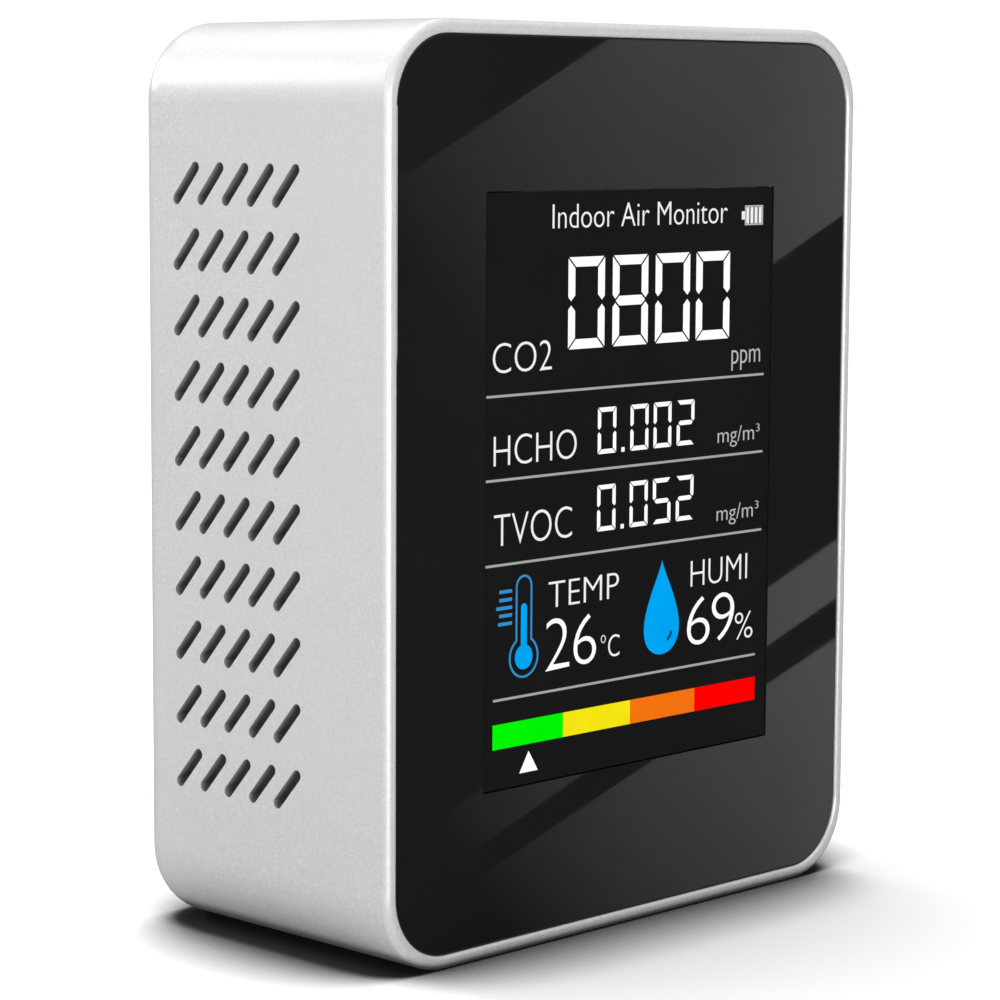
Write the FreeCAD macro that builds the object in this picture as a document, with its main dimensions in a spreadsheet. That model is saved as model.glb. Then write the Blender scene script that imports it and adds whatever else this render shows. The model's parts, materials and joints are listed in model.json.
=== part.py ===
"""Air quality monitor, a free-standing desk instrument, as a parametric FreeCAD document.

Frame: millimetres, +Z up, the display faces -Y, the origin is the middle of the base.
A deep moulded shell holds a glossy front panel with a liquid crystal display in its cut-out.
Behind the display stands the main board with its sensors; a small power board hangs on the
rear cover with the charging socket and the button's switch, and the battery sticks to the cover.
"""
import FreeCAD, Part
import math
import os
import re

import Sketcher

# Driving dimensions, in millimetres. Each one is a cell of the document's spreadsheet.
SIZES = {
    # casing
    "body_width": 73.0,
    "body_depth": 38.5,
    "body_height": 96.0,
    "corner_radius": 8.3,
    "wall": 2.0,
    "rim_width": 1.45,
    "rim_outer_fillet": 0.8,
    "rim_inner_fillet": 0.45,
    "rear_fillet": 3.5,
    "rear_flange": 4.5,
    "rear_flange_depth": 4.0,
    "front_wall": 1.8,
    # side vents
    "vent_width": 1.2,
    "vent_length": 5.6,
    "vent_lean": 42.0,
    "vent_pitch_y": 3.86,
    "vent_pitch_z": 6.85,
    "vent_columns": 5,
    "vent_rows": 10,
    "vent_first_y": -4.4,
    "vent_rise": 0.5,
    # front panel and its tape
    "panel_recess": 0.3,
    "panel_thickness": 1.4,
    "panel_corner_radius": 7.1,
    "panel_edge_round": 0.15,
    "panel_gap": 0.06,
    "tape_thickness": 0.2,
    "tape_width": 3.5,
    "tape_inset": 0.5,
    "window_width": 45.2,
    "window_height": 61.6,
    "window_rise": 0.1,
    # display
    "lcd_clearance": 0.02,
    "lcd_gap": 0.15,
    "polarizer_thickness": 0.2,
    "glass_thickness": 1.1,
    "glass_side_ledge": 1.9,
    "glass_end_ledge": 2.8,
    "backlight_side_inset": 0.2,
    "backlight_end_inset": 0.8,
    "backlight_depth": 3.0,
    "backlight_wall": 1.0,
    "light_guide_thickness": 1.7,
    "reflector_thickness": 0.1,
    "led_height": 1.2,
    "led_gap": 0.3,
    "lcd_opening_side_gap": 0.6,
    "lcd_opening_end_gap": 1.2,
    "foam_thickness": 0.2,
    "tape_margin": 4.0,
    "lcd_pin_count": 20,
    "lcd_pin_pitch": 2.0,
    "lcd_pin_width": 0.5,
    "lcd_pin_thickness": 0.3,
    "lcd_pin_gap": 0.2,
    # main board
    "board_height": 73.0,
    "board_thickness": 1.6,
    "board_corner_radius": 1.5,
    "board_side_margin": 2.6,
    "board_end_margin": 3.1,
    "board_post_gap": 1.1,
    "board_post_diameter": 4.4,
    "small_screw_diameter": 1.8,
    "small_screw_hole": 2.2,
    "small_pilot": 1.9,
    "small_screw_head": 3.4,
    "small_screw_head_height": 1.2,
    "board_screw_length": 4.2,
    # sensors on the main board
    "co2_width": 20.0,
    "co2_height": 33.0,
    "co2_depth": 9.0,
    "co2_round": 1.5,
    "co2_x": -17.0,
    "co2_rise": -10.1,
    "co2_board_thickness": 1.0,
    "co2_standoff": 2.5,
    "membrane_width": 12.0,
    "membrane_height": 6.0,
    "membrane_depth": 0.4,
    "voc_can_diameter": 8.2,
    "voc_flange_diameter": 9.2,
    "voc_height": 7.0,
    "voc_x": -14.0,
    "voc_rise": 22.9,
    "hcho_side": 12.0,
    "hcho_height": 4.0,
    "hcho_cap_diameter": 9.0,
    "hcho_cap_height": 2.0,
    "hcho_x": 2.0,
    "hcho_rise": 23.9,
    "co2_case_inset": 0.3,
    "co2_board_round": 0.5,
    "co2_pin_side": 0.6,
    "co2_pin_margin": 1.5,
    "co2_pin_pitch": 2.54,
    "voc_flange_thickness": 0.8,
    "voc_edge_round": 0.6,
    "sensor_hole": 0.8,
    "sensor_hole_circle": 1.8,
    "sensor_hole_depth": 0.5,
    "climate_side": 3.0,
    "climate_depth": 1.0,
    "climate_hole": 1.0,
    "climate_hole_depth": 0.4,
    "climate_x": -26.0,
    "climate_rise": 14.0,
    # chips and small parts on the main board
    "chip_x": 12.0,
    "chip_chamfer": 0.2,
    "controller_side": 10.0,
    "controller_depth": 1.5,
    "driver_side": 7.0,
    "driver_depth": 1.2,
    "driver_rise": -14.0,
    "crystal_width": 10.5,
    "crystal_height": 4.5,
    "crystal_depth": 3.5,
    "crystal_round": 2.2,
    "crystal_rise": 9.5,
    "buzzer_diameter": 9.0,
    "buzzer_depth": 4.5,
    "buzzer_hole": 2.0,
    "buzzer_hole_depth": 1.0,
    "buzzer_x": 20.0,
    "buzzer_rise": 23.0,
    "can_edge_round": 0.4,
    "capacitor_length": 2.0,
    "capacitor_side": 1.25,
    "resistor_length": 1.6,
    "resistor_width": 0.9,
    "resistor_depth": 0.5,
    # rear cover and its screws
    "cover_recess": 0.4,
    "cover_thickness": 2.0,
    "cover_gap": 0.15,
    "opening_radius": 4.2,
    "cover_edge_round": 0.35,
    "screw_edge": 0.75,
    "post_diameter": 5.6,
    "post_web": 1.2,
    "screw_head_diameter": 4.4,
    "screw_head_height": 1.2,
    "screw_seat_diameter": 5.0,
    "screw_seat_depth": 1.25,
    "screw_hole_diameter": 2.9,
    "screw_diameter": 2.3,
    "screw_length": 9.0,
    "pilot_diameter": 2.4,
    "pilot_depth": 9.5,
    "cross_width": 0.55,
    "cross_span": 2.4,
    "cross_depth": 0.8,
    # power board, charging socket and button
    "power_board_depth": 17.0,
    "power_board_margin": 0.5,
    "power_board_thickness": 1.2,
    "power_board_z": 13.0,
    "power_board_gap": 0.4,
    "power_board_round": 1.0,
    "charger_side": 4.0,
    "charger_depth": 0.9,
    "charger_x": -12.0,
    "inductor_side": 4.0,
    "inductor_depth": 2.0,
    "inductor_round": 0.6,
    "inductor_x": -6.4,
    "power_parts_y": 2.4,
    "power_capacitor_x": -8.6,
    "power_capacitor_y": 7.6,
    "power_capacitor_length": 1.8,
    "power_capacitor_depth": 1.2,
    "shelf_width": 4.0,
    "shelf_thickness": 2.0,
    "shelf_length": 13.0,
    "shelf_gap": 0.2,
    "shelf_screw_y": 9.0,
    "shelf_screw_length": 3.0,
    "socket_x": -6.5,
    "socket_width": 8.94,
    "socket_height": 3.26,
    "socket_length": 7.35,
    "socket_wall": 0.3,
    "socket_inset": 0.6,
    "socket_clearance": 0.35,
    "tongue_width": 6.7,
    "tongue_thickness": 0.7,
    "tongue_inset": 0.6,
    "button_x": 7.5,
    "button_diameter": 8.0,
    "button_clearance": 0.2,
    "button_lip": 0.8,
    "button_flange_thickness": 1.0,
    "button_flange_gap": 0.05,
    "button_edge_round": 0.4,
    "button_proud": 0.3,
    "button_travel": 0.4,
    "stem_diameter": 2.8,
    "switch_width": 6.0,
    "switch_height": 3.5,
    "switch_depth": 3.6,
    "plunger_width": 2.6,
    "plunger_height": 1.4,
    "plunger_length": 1.4,
    "plunger_gap": 0.06,
    "contact_gap": 0.02,
    # battery, connectors and leads
    "battery_width": 34.0,
    "battery_height": 50.0,
    "battery_thickness": 9.5,
    "battery_round": 2.0,
    "battery_x": 7.0,
    "battery_bottom_z": 28.0,
    "battery_tape_thickness": 0.5,
    "connector_height": 4.8,
    "connector_depth": 3.6,
    "connector_wall": 0.6,
    "connector_gap": 0.08,
    "connector_y": 13.5,
    "plug_length": 5.0,
    "battery_socket_x": -1.0,
    "battery_socket_width": 5.6,
    "lead_diameter": 1.2,
    "lead_pitch": 1.7,
    "harness_x": 9.0,
    "harness_rise": -23.1,
    "harness_socket_width": 7.6,
    "wire_diameter": 1.0,
    "wire_pitch": 1.5,
    "wire_count": 4,
}

# Places along Y, the depth, counted from the front face backwards.
FRONT = "-body_depth/2"
BACK = "body_depth/2"
PANEL_FRONT = f"({FRONT} + panel_recess)"
PANEL_BACK = f"({PANEL_FRONT} + panel_thickness)"
SHELF_FRONT = f"({PANEL_BACK} + tape_thickness)"
WALL_BACK = f"({SHELF_FRONT} + front_wall)"
REAR_GLASS = f"({PANEL_BACK} + lcd_clearance)"
FRONT_GLASS = f"({REAR_GLASS} - glass_thickness)"
LCD_FRONT = f"({FRONT_GLASS} - polarizer_thickness)"
REAR_POLARIZER = f"({REAR_GLASS} + glass_thickness)"
BACKLIGHT = f"({REAR_POLARIZER} + polarizer_thickness)"
BACKLIGHT_BACK = f"({BACKLIGHT} + backlight_depth)"
BOARD_FRONT = f"({BACKLIGHT_BACK} + foam_thickness)"
BOARD_BACK = f"({BOARD_FRONT} + board_thickness)"
COVER_BACK = f"({BACK} - cover_recess)"
COVER_FRONT = f"({COVER_BACK} - cover_thickness)"
FLANGE_FRONT = f"({BACK} - rear_flange_depth)"
SOCKET_BACK = f"({COVER_BACK} - socket_inset)"
BUTTON_BACK = f"({COVER_BACK} + button_proud)"
BUTTON_FLANGE_BACK = f"({COVER_FRONT} - button_flange_gap)"
BUTTON_FLANGE_FRONT = f"({BUTTON_FLANGE_BACK} - button_flange_thickness)"
STEM_FRONT = f"({BUTTON_FLANGE_FRONT} - button_travel - 0.6)"
PLUNGER_BACK = f"({STEM_FRONT} - contact_gap)"
PLUNGER_FRONT = f"({PLUNGER_BACK} - plunger_length)"
SWITCH_BACK = f"({PLUNGER_FRONT} + button_travel + 0.3)"
SWITCH_FRONT = f"({SWITCH_BACK} - switch_depth)"
BATTERY_BACK = f"({COVER_FRONT} - battery_tape_thickness)"
BATTERY_FRONT = f"({BATTERY_BACK} - battery_thickness)"
POWER_BOARD_BACK = f"({COVER_FRONT} - power_board_gap)"
POWER_BOARD_FRONT = f"({POWER_BOARD_BACK} - power_board_depth)"
SHELF_SCREW_Y = f"({POWER_BOARD_BACK} - shelf_screw_y)"
CONNECTOR_Y = f"({POWER_BOARD_BACK} - connector_y)"
CO2_BOARD = f"({BOARD_BACK} + co2_standoff)"
CO2_CASE = f"({CO2_BOARD} + co2_board_thickness)"

# Places along Z, the height.
MIDDLE = "body_height/2"
LCD_MIDDLE = "(body_height/2 + window_rise)"
POWER_TOP = "(power_board_z + power_board_thickness)"
SOCKET_Z = f"({POWER_TOP} + socket_height/2)"
CO2_Z = f"({LCD_MIDDLE} + co2_rise)"
VOC_Z = f"({LCD_MIDDLE} + voc_rise)"
HCHO_Z = f"({LCD_MIDDLE} + hcho_rise)"
HARNESS_Z = f"({LCD_MIDDLE} + harness_rise)"

# Outlines and places that follow from other sizes.
REAR_GLASS_WIDTH = "(window_width + 2*glass_side_ledge)"
REAR_GLASS_HEIGHT = "(window_height + 2*glass_end_ledge)"
BACKLIGHT_WIDTH = f"({REAR_GLASS_WIDTH} - 2*backlight_side_inset)"
BACKLIGHT_HEIGHT = f"({REAR_GLASS_HEIGHT} - 2*backlight_end_inset)"
LCD_OPENING_WIDTH = f"({REAR_GLASS_WIDTH} + 2*lcd_opening_side_gap)"
LCD_OPENING_HEIGHT = f"({REAR_GLASS_HEIGHT} + 2*lcd_opening_end_gap)"
PIN_Z = f"({LCD_MIDDLE} - {REAR_GLASS_HEIGHT}/2 - lcd_pin_gap - lcd_pin_thickness/2)"
BOARD_POST_X = f"({LCD_OPENING_WIDTH}/2 + board_post_gap + board_post_diameter/2)"
BOARD_POST_Z = "(board_height/2 - board_end_margin)"
BOARD_WIDTH = f"(2*{BOARD_POST_X} + 2*board_side_margin)"
SCREW_INSET = "(rear_flange + cover_gap + screw_edge + screw_seat_diameter/2)"
BUTTON_FLANGE = "(button_diameter + 2*button_lip)"
SHELF_X = f"(button_x + {BUTTON_FLANGE}/2 + shelf_gap + shelf_width/2)"
POWER_BOARD_WIDTH = f"(2*{SHELF_X} + shelf_width + 2*power_board_margin)"
SHELF_SPOTS = ((SHELF_X, "0"), (f"-{SHELF_X}", "0"))

NAME = re.compile(r"[a-z][a-z_0-9]*")
document = FreeCAD.newDocument("AirQualityMonitor")


def make_sheet():
    """The spreadsheet of driving dimensions, one named cell each."""
    sheet = document.addObject("Spreadsheet::Sheet", "sizes")
    for row, (name, value) in enumerate(SIZES.items(), 1):
        sheet.set(f"A{row}", name)
        sheet.set(f"B{row}", str(value))
        sheet.setAlias(f"B{row}", name)
    document.recompute()


def linked(formula):
    """The formula with each size's name pointed at its cell."""
    return NAME.sub(lambda found: "sizes." + found.group(), formula)


def size(formula):
    """What the formula comes to with the present sizes."""
    return FreeCAD.Units.Quantity(NAME.sub(lambda found: repr(SIZES[found.group()]), formula)).Value


def bind(item, setting, formula):
    item.setExpression(setting, linked(formula))


# ---- sketches -------------------------------------------------------------------------------

def new_body(label):
    body = document.addObject("PartDesign::Body", label)
    body.Label = label
    return body


def new_sketch(body, plane, place):
    """A sketch on one of the body's own planes, its middle at place = (x, y, z) formulas."""
    x, y, z = place
    offset = {
        "XY_Plane": (x, y, z),
        "XZ_Plane": (x, z, f"-({y})"),
        "YZ_Plane": (y, z, x),
    }[plane]
    sketch = body.newObject("Sketcher::SketchObject", body.Label + "_sketch")
    origin_plane = next(f for f in body.Origin.OriginFeatures if f.Role == plane)
    sketch.AttachmentSupport = (origin_plane, [""])
    sketch.MapMode = "FlatFace"
    for axis, formula in zip("xyz", offset):
        bind(sketch, f"AttachmentOffset.Base.{axis}", formula)
    return sketch


def dimension(sketch, kind, formula, *where):
    """A dimension of the sketch, bound to a formula."""
    index = sketch.addConstraint(Sketcher.Constraint(kind, *where, size(formula)))
    name = f"size_{index}"
    sketch.renameConstraint(index, name)
    bind(sketch, f"Constraints.{name}", formula)


def rectangles(width, height, spots=(("0", "0"),)):
    """Draws rectangles centred on the spots, each a pair of formulas."""

    def draw(sketch):
        for index, (middle_x, middle_y) in enumerate(spots):
            left, low = f"({middle_x}) - ({width})/2", f"({middle_y}) - ({height})/2"
            x, y, dx, dy = size(left), size(low), size(width), size(height)
            corners = [(x, y), (x + dx, y), (x + dx, y + dy), (x, y + dy)]
            corners = [FreeCAD.Vector(*corner, 0) for corner in corners]
            first = 4 * index
            for i in range(4):
                sketch.addGeometry(Part.LineSegment(corners[i], corners[(i + 1) % 4]), False)
            for i in range(4):
                following = first + (i + 1) % 4
                sketch.addConstraint(Sketcher.Constraint("Coincident", first + i, 2, following, 1))
                kind = "Horizontal" if i % 2 == 0 else "Vertical"
                sketch.addConstraint(Sketcher.Constraint(kind, first + i))
            dimension(sketch, "DistanceX", width, first, 1, first, 2)
            dimension(sketch, "DistanceY", height, first + 1, 1, first + 1, 2)
            dimension(sketch, "DistanceX", left, -1, 1, first, 1)
            dimension(sketch, "DistanceY", low, -1, 1, first, 1)

    return draw


def rounded_rectangle(width, height, radius):
    """Draws a centred rectangle with round corners: lines 0 to 3, then the arcs after them."""

    def draw(sketch):
        x, y, r = size(width) / 2, size(height) / 2, size(radius)
        right_angle = 1.5707963267948966
        ends = [
            ((-x + r, -y), (x - r, -y)),
            ((x, -y + r), (x, y - r)),
            ((x - r, y), (-x + r, y)),
            ((-x, y - r), (-x, -y + r)),
        ]
        for start, stop in ends:
            sketch.addGeometry(
                Part.LineSegment(FreeCAD.Vector(*start, 0), FreeCAD.Vector(*stop, 0)), False
            )
        centres = [(x - r, -y + r), (x - r, y - r), (-x + r, y - r), (-x + r, -y + r)]
        for i, centre in enumerate(centres):
            circle = Part.Circle(FreeCAD.Vector(*centre, 0), FreeCAD.Vector(0, 0, 1), r)
            turn = (i - 1) * right_angle
            sketch.addGeometry(Part.ArcOfCircle(circle, turn, turn + right_angle), False)
        for i in range(4):
            sketch.addConstraint(Sketcher.Constraint("Horizontal" if i % 2 == 0 else "Vertical", i))
            sketch.addConstraint(Sketcher.Constraint("Tangent", i, 2, 4 + i, 1))
            sketch.addConstraint(Sketcher.Constraint("Tangent", 4 + i, 2, (i + 1) % 4, 1))
        for i in range(1, 4):
            sketch.addConstraint(Sketcher.Constraint("Equal", 4, 4 + i))
        sketch.addConstraint(Sketcher.Constraint("Symmetric", 4, 3, 6, 3, -1, 1))
        dimension(sketch, "Radius", radius, 4)
        dimension(sketch, "DistanceX", f"{width} - 2*{radius}", 0, 1, 0, 2)
        dimension(sketch, "DistanceY", f"{height} - 2*{radius}", 1, 1, 1, 2)

    return draw


def circles(diameter, spots=(("0", "0"),)):
    """Draws circles at the spots, each a pair of formulas."""

    def draw(sketch):
        for index, (x, y) in enumerate(spots):
            middle = FreeCAD.Vector(size(x), size(y), 0)
            normal = FreeCAD.Vector(0, 0, 1)
            sketch.addGeometry(Part.Circle(middle, normal, size(diameter) / 2), False)
            dimension(sketch, "Diameter", diameter, index)
            if (x, y) == ("0", "0"):
                sketch.addConstraint(Sketcher.Constraint("Coincident", index, 3, -1, 1))
            else:
                dimension(sketch, "DistanceX", x, -1, 1, index, 3)
                dimension(sketch, "DistanceY", y, -1, 1, index, 3)

    return draw


def stadium(length, width):
    """Draws a centred slot with round ends, its length along the sketch's own Y."""

    def draw(sketch):
        half, r = (size(length) - size(width)) / 2, size(width) / 2
        pi = 3.141592653589793
        top = Part.Circle(FreeCAD.Vector(0, half, 0), FreeCAD.Vector(0, 0, 1), r)
        bottom = Part.Circle(FreeCAD.Vector(0, -half, 0), FreeCAD.Vector(0, 0, 1), r)
        sketch.addGeometry(Part.ArcOfCircle(top, 0, pi), False)
        sketch.addGeometry(Part.ArcOfCircle(bottom, pi, 2 * pi), False)
        for x, up in ((-r, -1), (r, 1)):
            line = Part.LineSegment(FreeCAD.Vector(x, -up * half, 0), FreeCAD.Vector(x, up * half, 0))
            sketch.addGeometry(line, False)
        joins = [(0, 2, 2, 1), (2, 2, 1, 1), (1, 2, 3, 1), (3, 2, 0, 1)]
        for join in joins:
            sketch.addConstraint(Sketcher.Constraint("Tangent", *join))
        sketch.addConstraint(Sketcher.Constraint("Vertical", 2))
        sketch.addConstraint(Sketcher.Constraint("Equal", 0, 1))
        sketch.addConstraint(Sketcher.Constraint("Symmetric", 0, 3, 1, 3, -1, 1))
        dimension(sketch, "Radius", f"{width}/2", 0)
        dimension(sketch, "DistanceY", f"{length} - {width}", 1, 3, 0, 3)

    return draw


# ---- features -------------------------------------------------------------------------------

def add_along_y(body, draw, x, z, front, back):
    """Adds what draw() outlines, from y = front to y = back."""
    sketch = new_sketch(body, "XZ_Plane", (x, back, z))
    draw(sketch)
    pad = body.newObject("PartDesign::Pad", body.Label + "_pad")
    pad.Profile = sketch
    bind(pad, "Length", f"({back}) - ({front})")
    document.recompute()
    return pad


def cut_along_y(body, draw, x, z, front, back):
    """Cuts what draw() outlines, from y = front to y = back."""
    before = body.Shape.Volume
    sketch = new_sketch(body, "XZ_Plane", (x, front, z))
    draw(sketch)
    pocket = body.newObject("PartDesign::Pocket", body.Label + "_pocket")
    pocket.Profile = sketch
    bind(pocket, "Length", f"({back}) - ({front})")
    document.recompute()
    if not body.Shape.Volume < before - 1e-6:
        raise RuntimeError(f"{pocket.Name} of {body.Label} cuts nothing")
    return pocket


def add_along_z(body, draw, x, y, bottom, top):
    """Adds what draw() outlines, from z = bottom to z = top."""
    sketch = new_sketch(body, "XY_Plane", (x, y, bottom))
    draw(sketch)
    pad = body.newObject("PartDesign::Pad", body.Label + "_pad")
    pad.Profile = sketch
    bind(pad, "Length", f"({top}) - ({bottom})")
    document.recompute()
    return pad


def cut_along_z(body, draw, x, y, bottom, top):
    """Cuts what draw() outlines, from z = bottom to z = top."""
    before = body.Shape.Volume
    sketch = new_sketch(body, "XY_Plane", (x, y, top))
    draw(sketch)
    pocket = body.newObject("PartDesign::Pocket", body.Label + "_pocket")
    pocket.Profile = sketch
    bind(pocket, "Length", f"({top}) - ({bottom})")
    document.recompute()
    if not body.Shape.Volume < before - 1e-6:
        raise RuntimeError(f"{pocket.Name} of {body.Label} cuts nothing")
    return pocket


def edges_where(shape, test):
    """Names of the edges whose bounding box passes the test."""
    return [f"Edge{i}" for i, edge in enumerate(shape.Edges, 1) if test(edge.BoundBox)]


def soften(body, radius, test, kind="Fillet"):
    """Rounds (or chamfers) the edges of the body's newest feature that pass the test."""
    base = body.Tip
    feature = body.newObject("PartDesign::" + kind, body.Label + "_" + kind.lower())
    feature.Base = (base, edges_where(base.Shape, test))
    bind(feature, "Radius" if kind == "Fillet" else "Size", radius)
    document.recompute()
    return feature


def flat_at_y(y, inside=None):
    """A test for edges that lie in the plane y, within half sizes (x, z) of the middle if given."""
    level = size(y)

    def test(box):
        if abs(box.YMin - level) > 1e-4 or abs(box.YMax - level) > 1e-4:
            return False
        if inside is None:
            return True
        x_most, z_low, z_high = (size(f) for f in inside)
        return abs(box.XMin) < x_most and abs(box.XMax) < x_most and box.ZMin > z_low and box.ZMax < z_high

    return test


def plate(label, draw, x, z, front, back):
    """A sub-part that is one outline between two planes of depth."""
    body = new_body(label)
    add_along_y(body, draw, x, z, front, back)
    return body


def block(label, width, height, x, z, front, back):
    """A sub-part that is a plain rectangular block."""
    return plate(label, rectangles(width, height), x, z, front, back)


# ---- casing ---------------------------------------------------------------------------------

def four_spots(across, up):
    """The same place in all four corners, from the middle."""
    return [(f"{a}{across}", f"{b}{up}") for a in ("", "-") for b in ("", "-")]


COVER_SPOTS = four_spots(f"(body_width/2 - {SCREW_INSET})", f"(body_height/2 - {SCREW_INSET})")
BOARD_SPOTS = four_spots(BOARD_POST_X, BOARD_POST_Z)


def make_main_shell():
    """The deep moulded shell: four walls, the front rim, the wall behind the panel, posts and vents."""
    body = new_body("main_shell")
    outline = rounded_rectangle("body_width", "body_height", "corner_radius")
    add_along_y(body, outline, "0", MIDDLE, FRONT, BACK)
    soften(body, "rear_fillet", flat_at_y(BACK))
    soften(body, "rim_outer_fillet", flat_at_y(FRONT))
    seat = rounded_rectangle(
        "(body_width - 2*rim_width)", "(body_height - 2*rim_width)", "(panel_corner_radius + panel_gap)"
    )
    cut_along_y(body, seat, "0", MIDDLE, FRONT, SHELF_FRONT)
    seat_edge = (
        "(body_width/2 - rim_width + 0.01)",
        "(rim_width - 0.01)",
        "(body_height - rim_width + 0.01)",
    )
    soften(body, "rim_inner_fillet", flat_at_y(FRONT, seat_edge))
    opening = rounded_rectangle(
        "(body_width - 2*rear_flange)", "(body_height - 2*rear_flange)", "opening_radius"
    )
    cut_along_y(body, opening, "0", MIDDLE, FLANGE_FRONT, BACK)
    cavity = rounded_rectangle("(body_width - 2*wall)", "(body_height - 2*wall)", "(corner_radius - wall)")
    cut_along_y(body, cavity, "0", MIDDLE, WALL_BACK, FLANGE_FRONT)
    window = rectangles(LCD_OPENING_WIDTH, LCD_OPENING_HEIGHT)
    cut_along_y(body, window, "0", LCD_MIDDLE, SHELF_FRONT, WALL_BACK)
    anchor = f"({WALL_BACK} - front_wall/2)"
    add_along_y(body, circles("post_diameter", COVER_SPOTS), "0", MIDDLE, anchor, COVER_FRONT)
    for side in ("-", ""):
        for end in ("-", ""):
            web_x = f"{side}(body_width/2 - wall/2 - {SCREW_INSET}/2 + post_diameter/4)"
            web_z = f"({MIDDLE} {end or '+'} (body_height/2 - {SCREW_INSET}))"
            web = rectangles(f"({SCREW_INSET} - post_diameter/2)", "post_web")
            add_along_y(body, web, web_x, web_z, anchor, FLANGE_FRONT)
    posts = circles("board_post_diameter", BOARD_SPOTS)
    add_along_y(body, posts, "0", LCD_MIDDLE, anchor, BOARD_FRONT)
    pilots = circles("pilot_diameter", COVER_SPOTS)
    cut_along_y(body, pilots, "0", MIDDLE, f"({COVER_FRONT} - pilot_depth)", COVER_FRONT)
    small_pilots = circles("small_pilot", BOARD_SPOTS)
    cut_along_y(body, small_pilots, "0", LCD_MIDDLE, f"({WALL_BACK} - 0.8)", BOARD_FRONT)
    cut_vents(body)
    return body


def cut_vents(body):
    """The slanted slots, in rows and columns through both side walls."""
    first_z = f"({MIDDLE} + vent_rise - (vent_rows - 1)*vent_pitch_z/2)"
    sketch = new_sketch(body, "YZ_Plane", ("0", "vent_first_y", first_z))
    bind(sketch, "AttachmentOffset.Rotation.Angle", "vent_lean")
    stadium("vent_length", "vent_width")(sketch)
    pocket = body.newObject("PartDesign::Pocket", "main_shell_vent")
    pocket.Profile = sketch
    pocket.Midplane = True
    bind(pocket, "Length", "body_width + 2")
    document.recompute()
    rows = repeat(body, "vent_rows", "vent_pitch_z", 2)
    columns = repeat(body, "vent_columns", "vent_pitch_y", 1)
    several = body.newObject("PartDesign::MultiTransform", "main_shell_vents")
    several.Originals = [pocket]
    several.Transformations = [rows, columns]
    body.Tip = several
    document.recompute()


def repeat(body, count, pitch, axis):
    """A linear pattern along one of the body's own axes, for a multi-transform."""
    pattern = body.newObject("PartDesign::LinearPattern", "vent_repeat")
    role = ("X_Axis", "Y_Axis", "Z_Axis")[axis]
    pattern.Direction = (next(f for f in body.Origin.OriginFeatures if f.Role == role), [""])
    bind(pattern, "Length", f"({count} - 1)*{pitch}")
    bind(pattern, "Occurrences", count)
    return pattern


def make_front_panel():
    """The glossy face plate with the display's cut-out, and the tape frame that holds it."""
    panel_width = "(body_width - 2*rim_width - 2*panel_gap)"
    panel_height = "(body_height - 2*rim_width - 2*panel_gap)"
    body = new_body("front_panel")
    outline = rounded_rectangle(panel_width, panel_height, "panel_corner_radius")
    add_along_y(body, outline, "0", MIDDLE, PANEL_FRONT, PANEL_BACK)
    soften(body, "panel_edge_round", flat_at_y(PANEL_FRONT))
    window = rectangles("window_width", "window_height")
    cut_along_y(body, window, "0", LCD_MIDDLE, PANEL_FRONT, PANEL_BACK)

    tape = new_body("panel_tape")
    tape_width, tape_height = f"({panel_width} - 2*tape_inset)", f"({panel_height} - 2*tape_inset)"
    outline = rounded_rectangle(tape_width, tape_height, "(panel_corner_radius - tape_inset)")
    add_along_y(tape, outline, "0", MIDDLE, PANEL_BACK, SHELF_FRONT)
    hole = rounded_rectangle(
        f"({tape_width} - 2*tape_width)",
        f"({tape_height} - 2*tape_width)",
        "(panel_corner_radius - tape_inset - tape_width)",
    )
    cut_along_y(tape, hole, "0", MIDDLE, PANEL_BACK, SHELF_FRONT)


def crosses(spots):
    """The two bars of each screw's cross recess, drawn one after the other."""
    return rectangles("cross_span", "cross_width", spots), rectangles("cross_width", "cross_span", spots)


def make_rear_cover():
    """The cover with its screw seats, socket and button openings and the power board's shelves."""
    body = new_body("rear_cover")
    outline = rounded_rectangle(
        "(body_width - 2*rear_flange - 2*cover_gap)",
        "(body_height - 2*rear_flange - 2*cover_gap)",
        "(opening_radius - cover_gap)",
    )
    add_along_y(body, outline, "0", MIDDLE, COVER_FRONT, COVER_BACK)
    soften(body, "cover_edge_round", flat_at_y(COVER_BACK))
    cut_along_y(body, circles("screw_hole_diameter", COVER_SPOTS), "0", MIDDLE, COVER_FRONT, COVER_BACK)
    seat = f"({COVER_BACK} - screw_seat_depth)"
    cut_along_y(body, circles("screw_seat_diameter", COVER_SPOTS), "0", MIDDLE, seat, COVER_BACK)
    opening = rounded_rectangle(
        "(socket_width + 2*socket_clearance)",
        "(socket_height + 2*socket_clearance)",
        "(socket_height/2 + socket_clearance - 0.05)",
    )
    cut_along_y(body, opening, "socket_x", SOCKET_Z, COVER_FRONT, COVER_BACK)
    hole = circles("(button_diameter + 2*button_clearance)")
    cut_along_y(body, hole, "button_x", SOCKET_Z, COVER_FRONT, COVER_BACK)
    shelves = rectangles("shelf_width", "shelf_thickness", SHELF_SPOTS)
    shelf_z = "(power_board_z - shelf_thickness/2)"
    add_along_y(body, shelves, "0", shelf_z, f"({COVER_FRONT} - shelf_length)", COVER_FRONT)
    pilots = circles("small_pilot", SHELF_SPOTS)
    cut_along_z(body, pilots, "0", SHELF_SCREW_Y, "(power_board_z - shelf_thickness)", "power_board_z")


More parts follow.
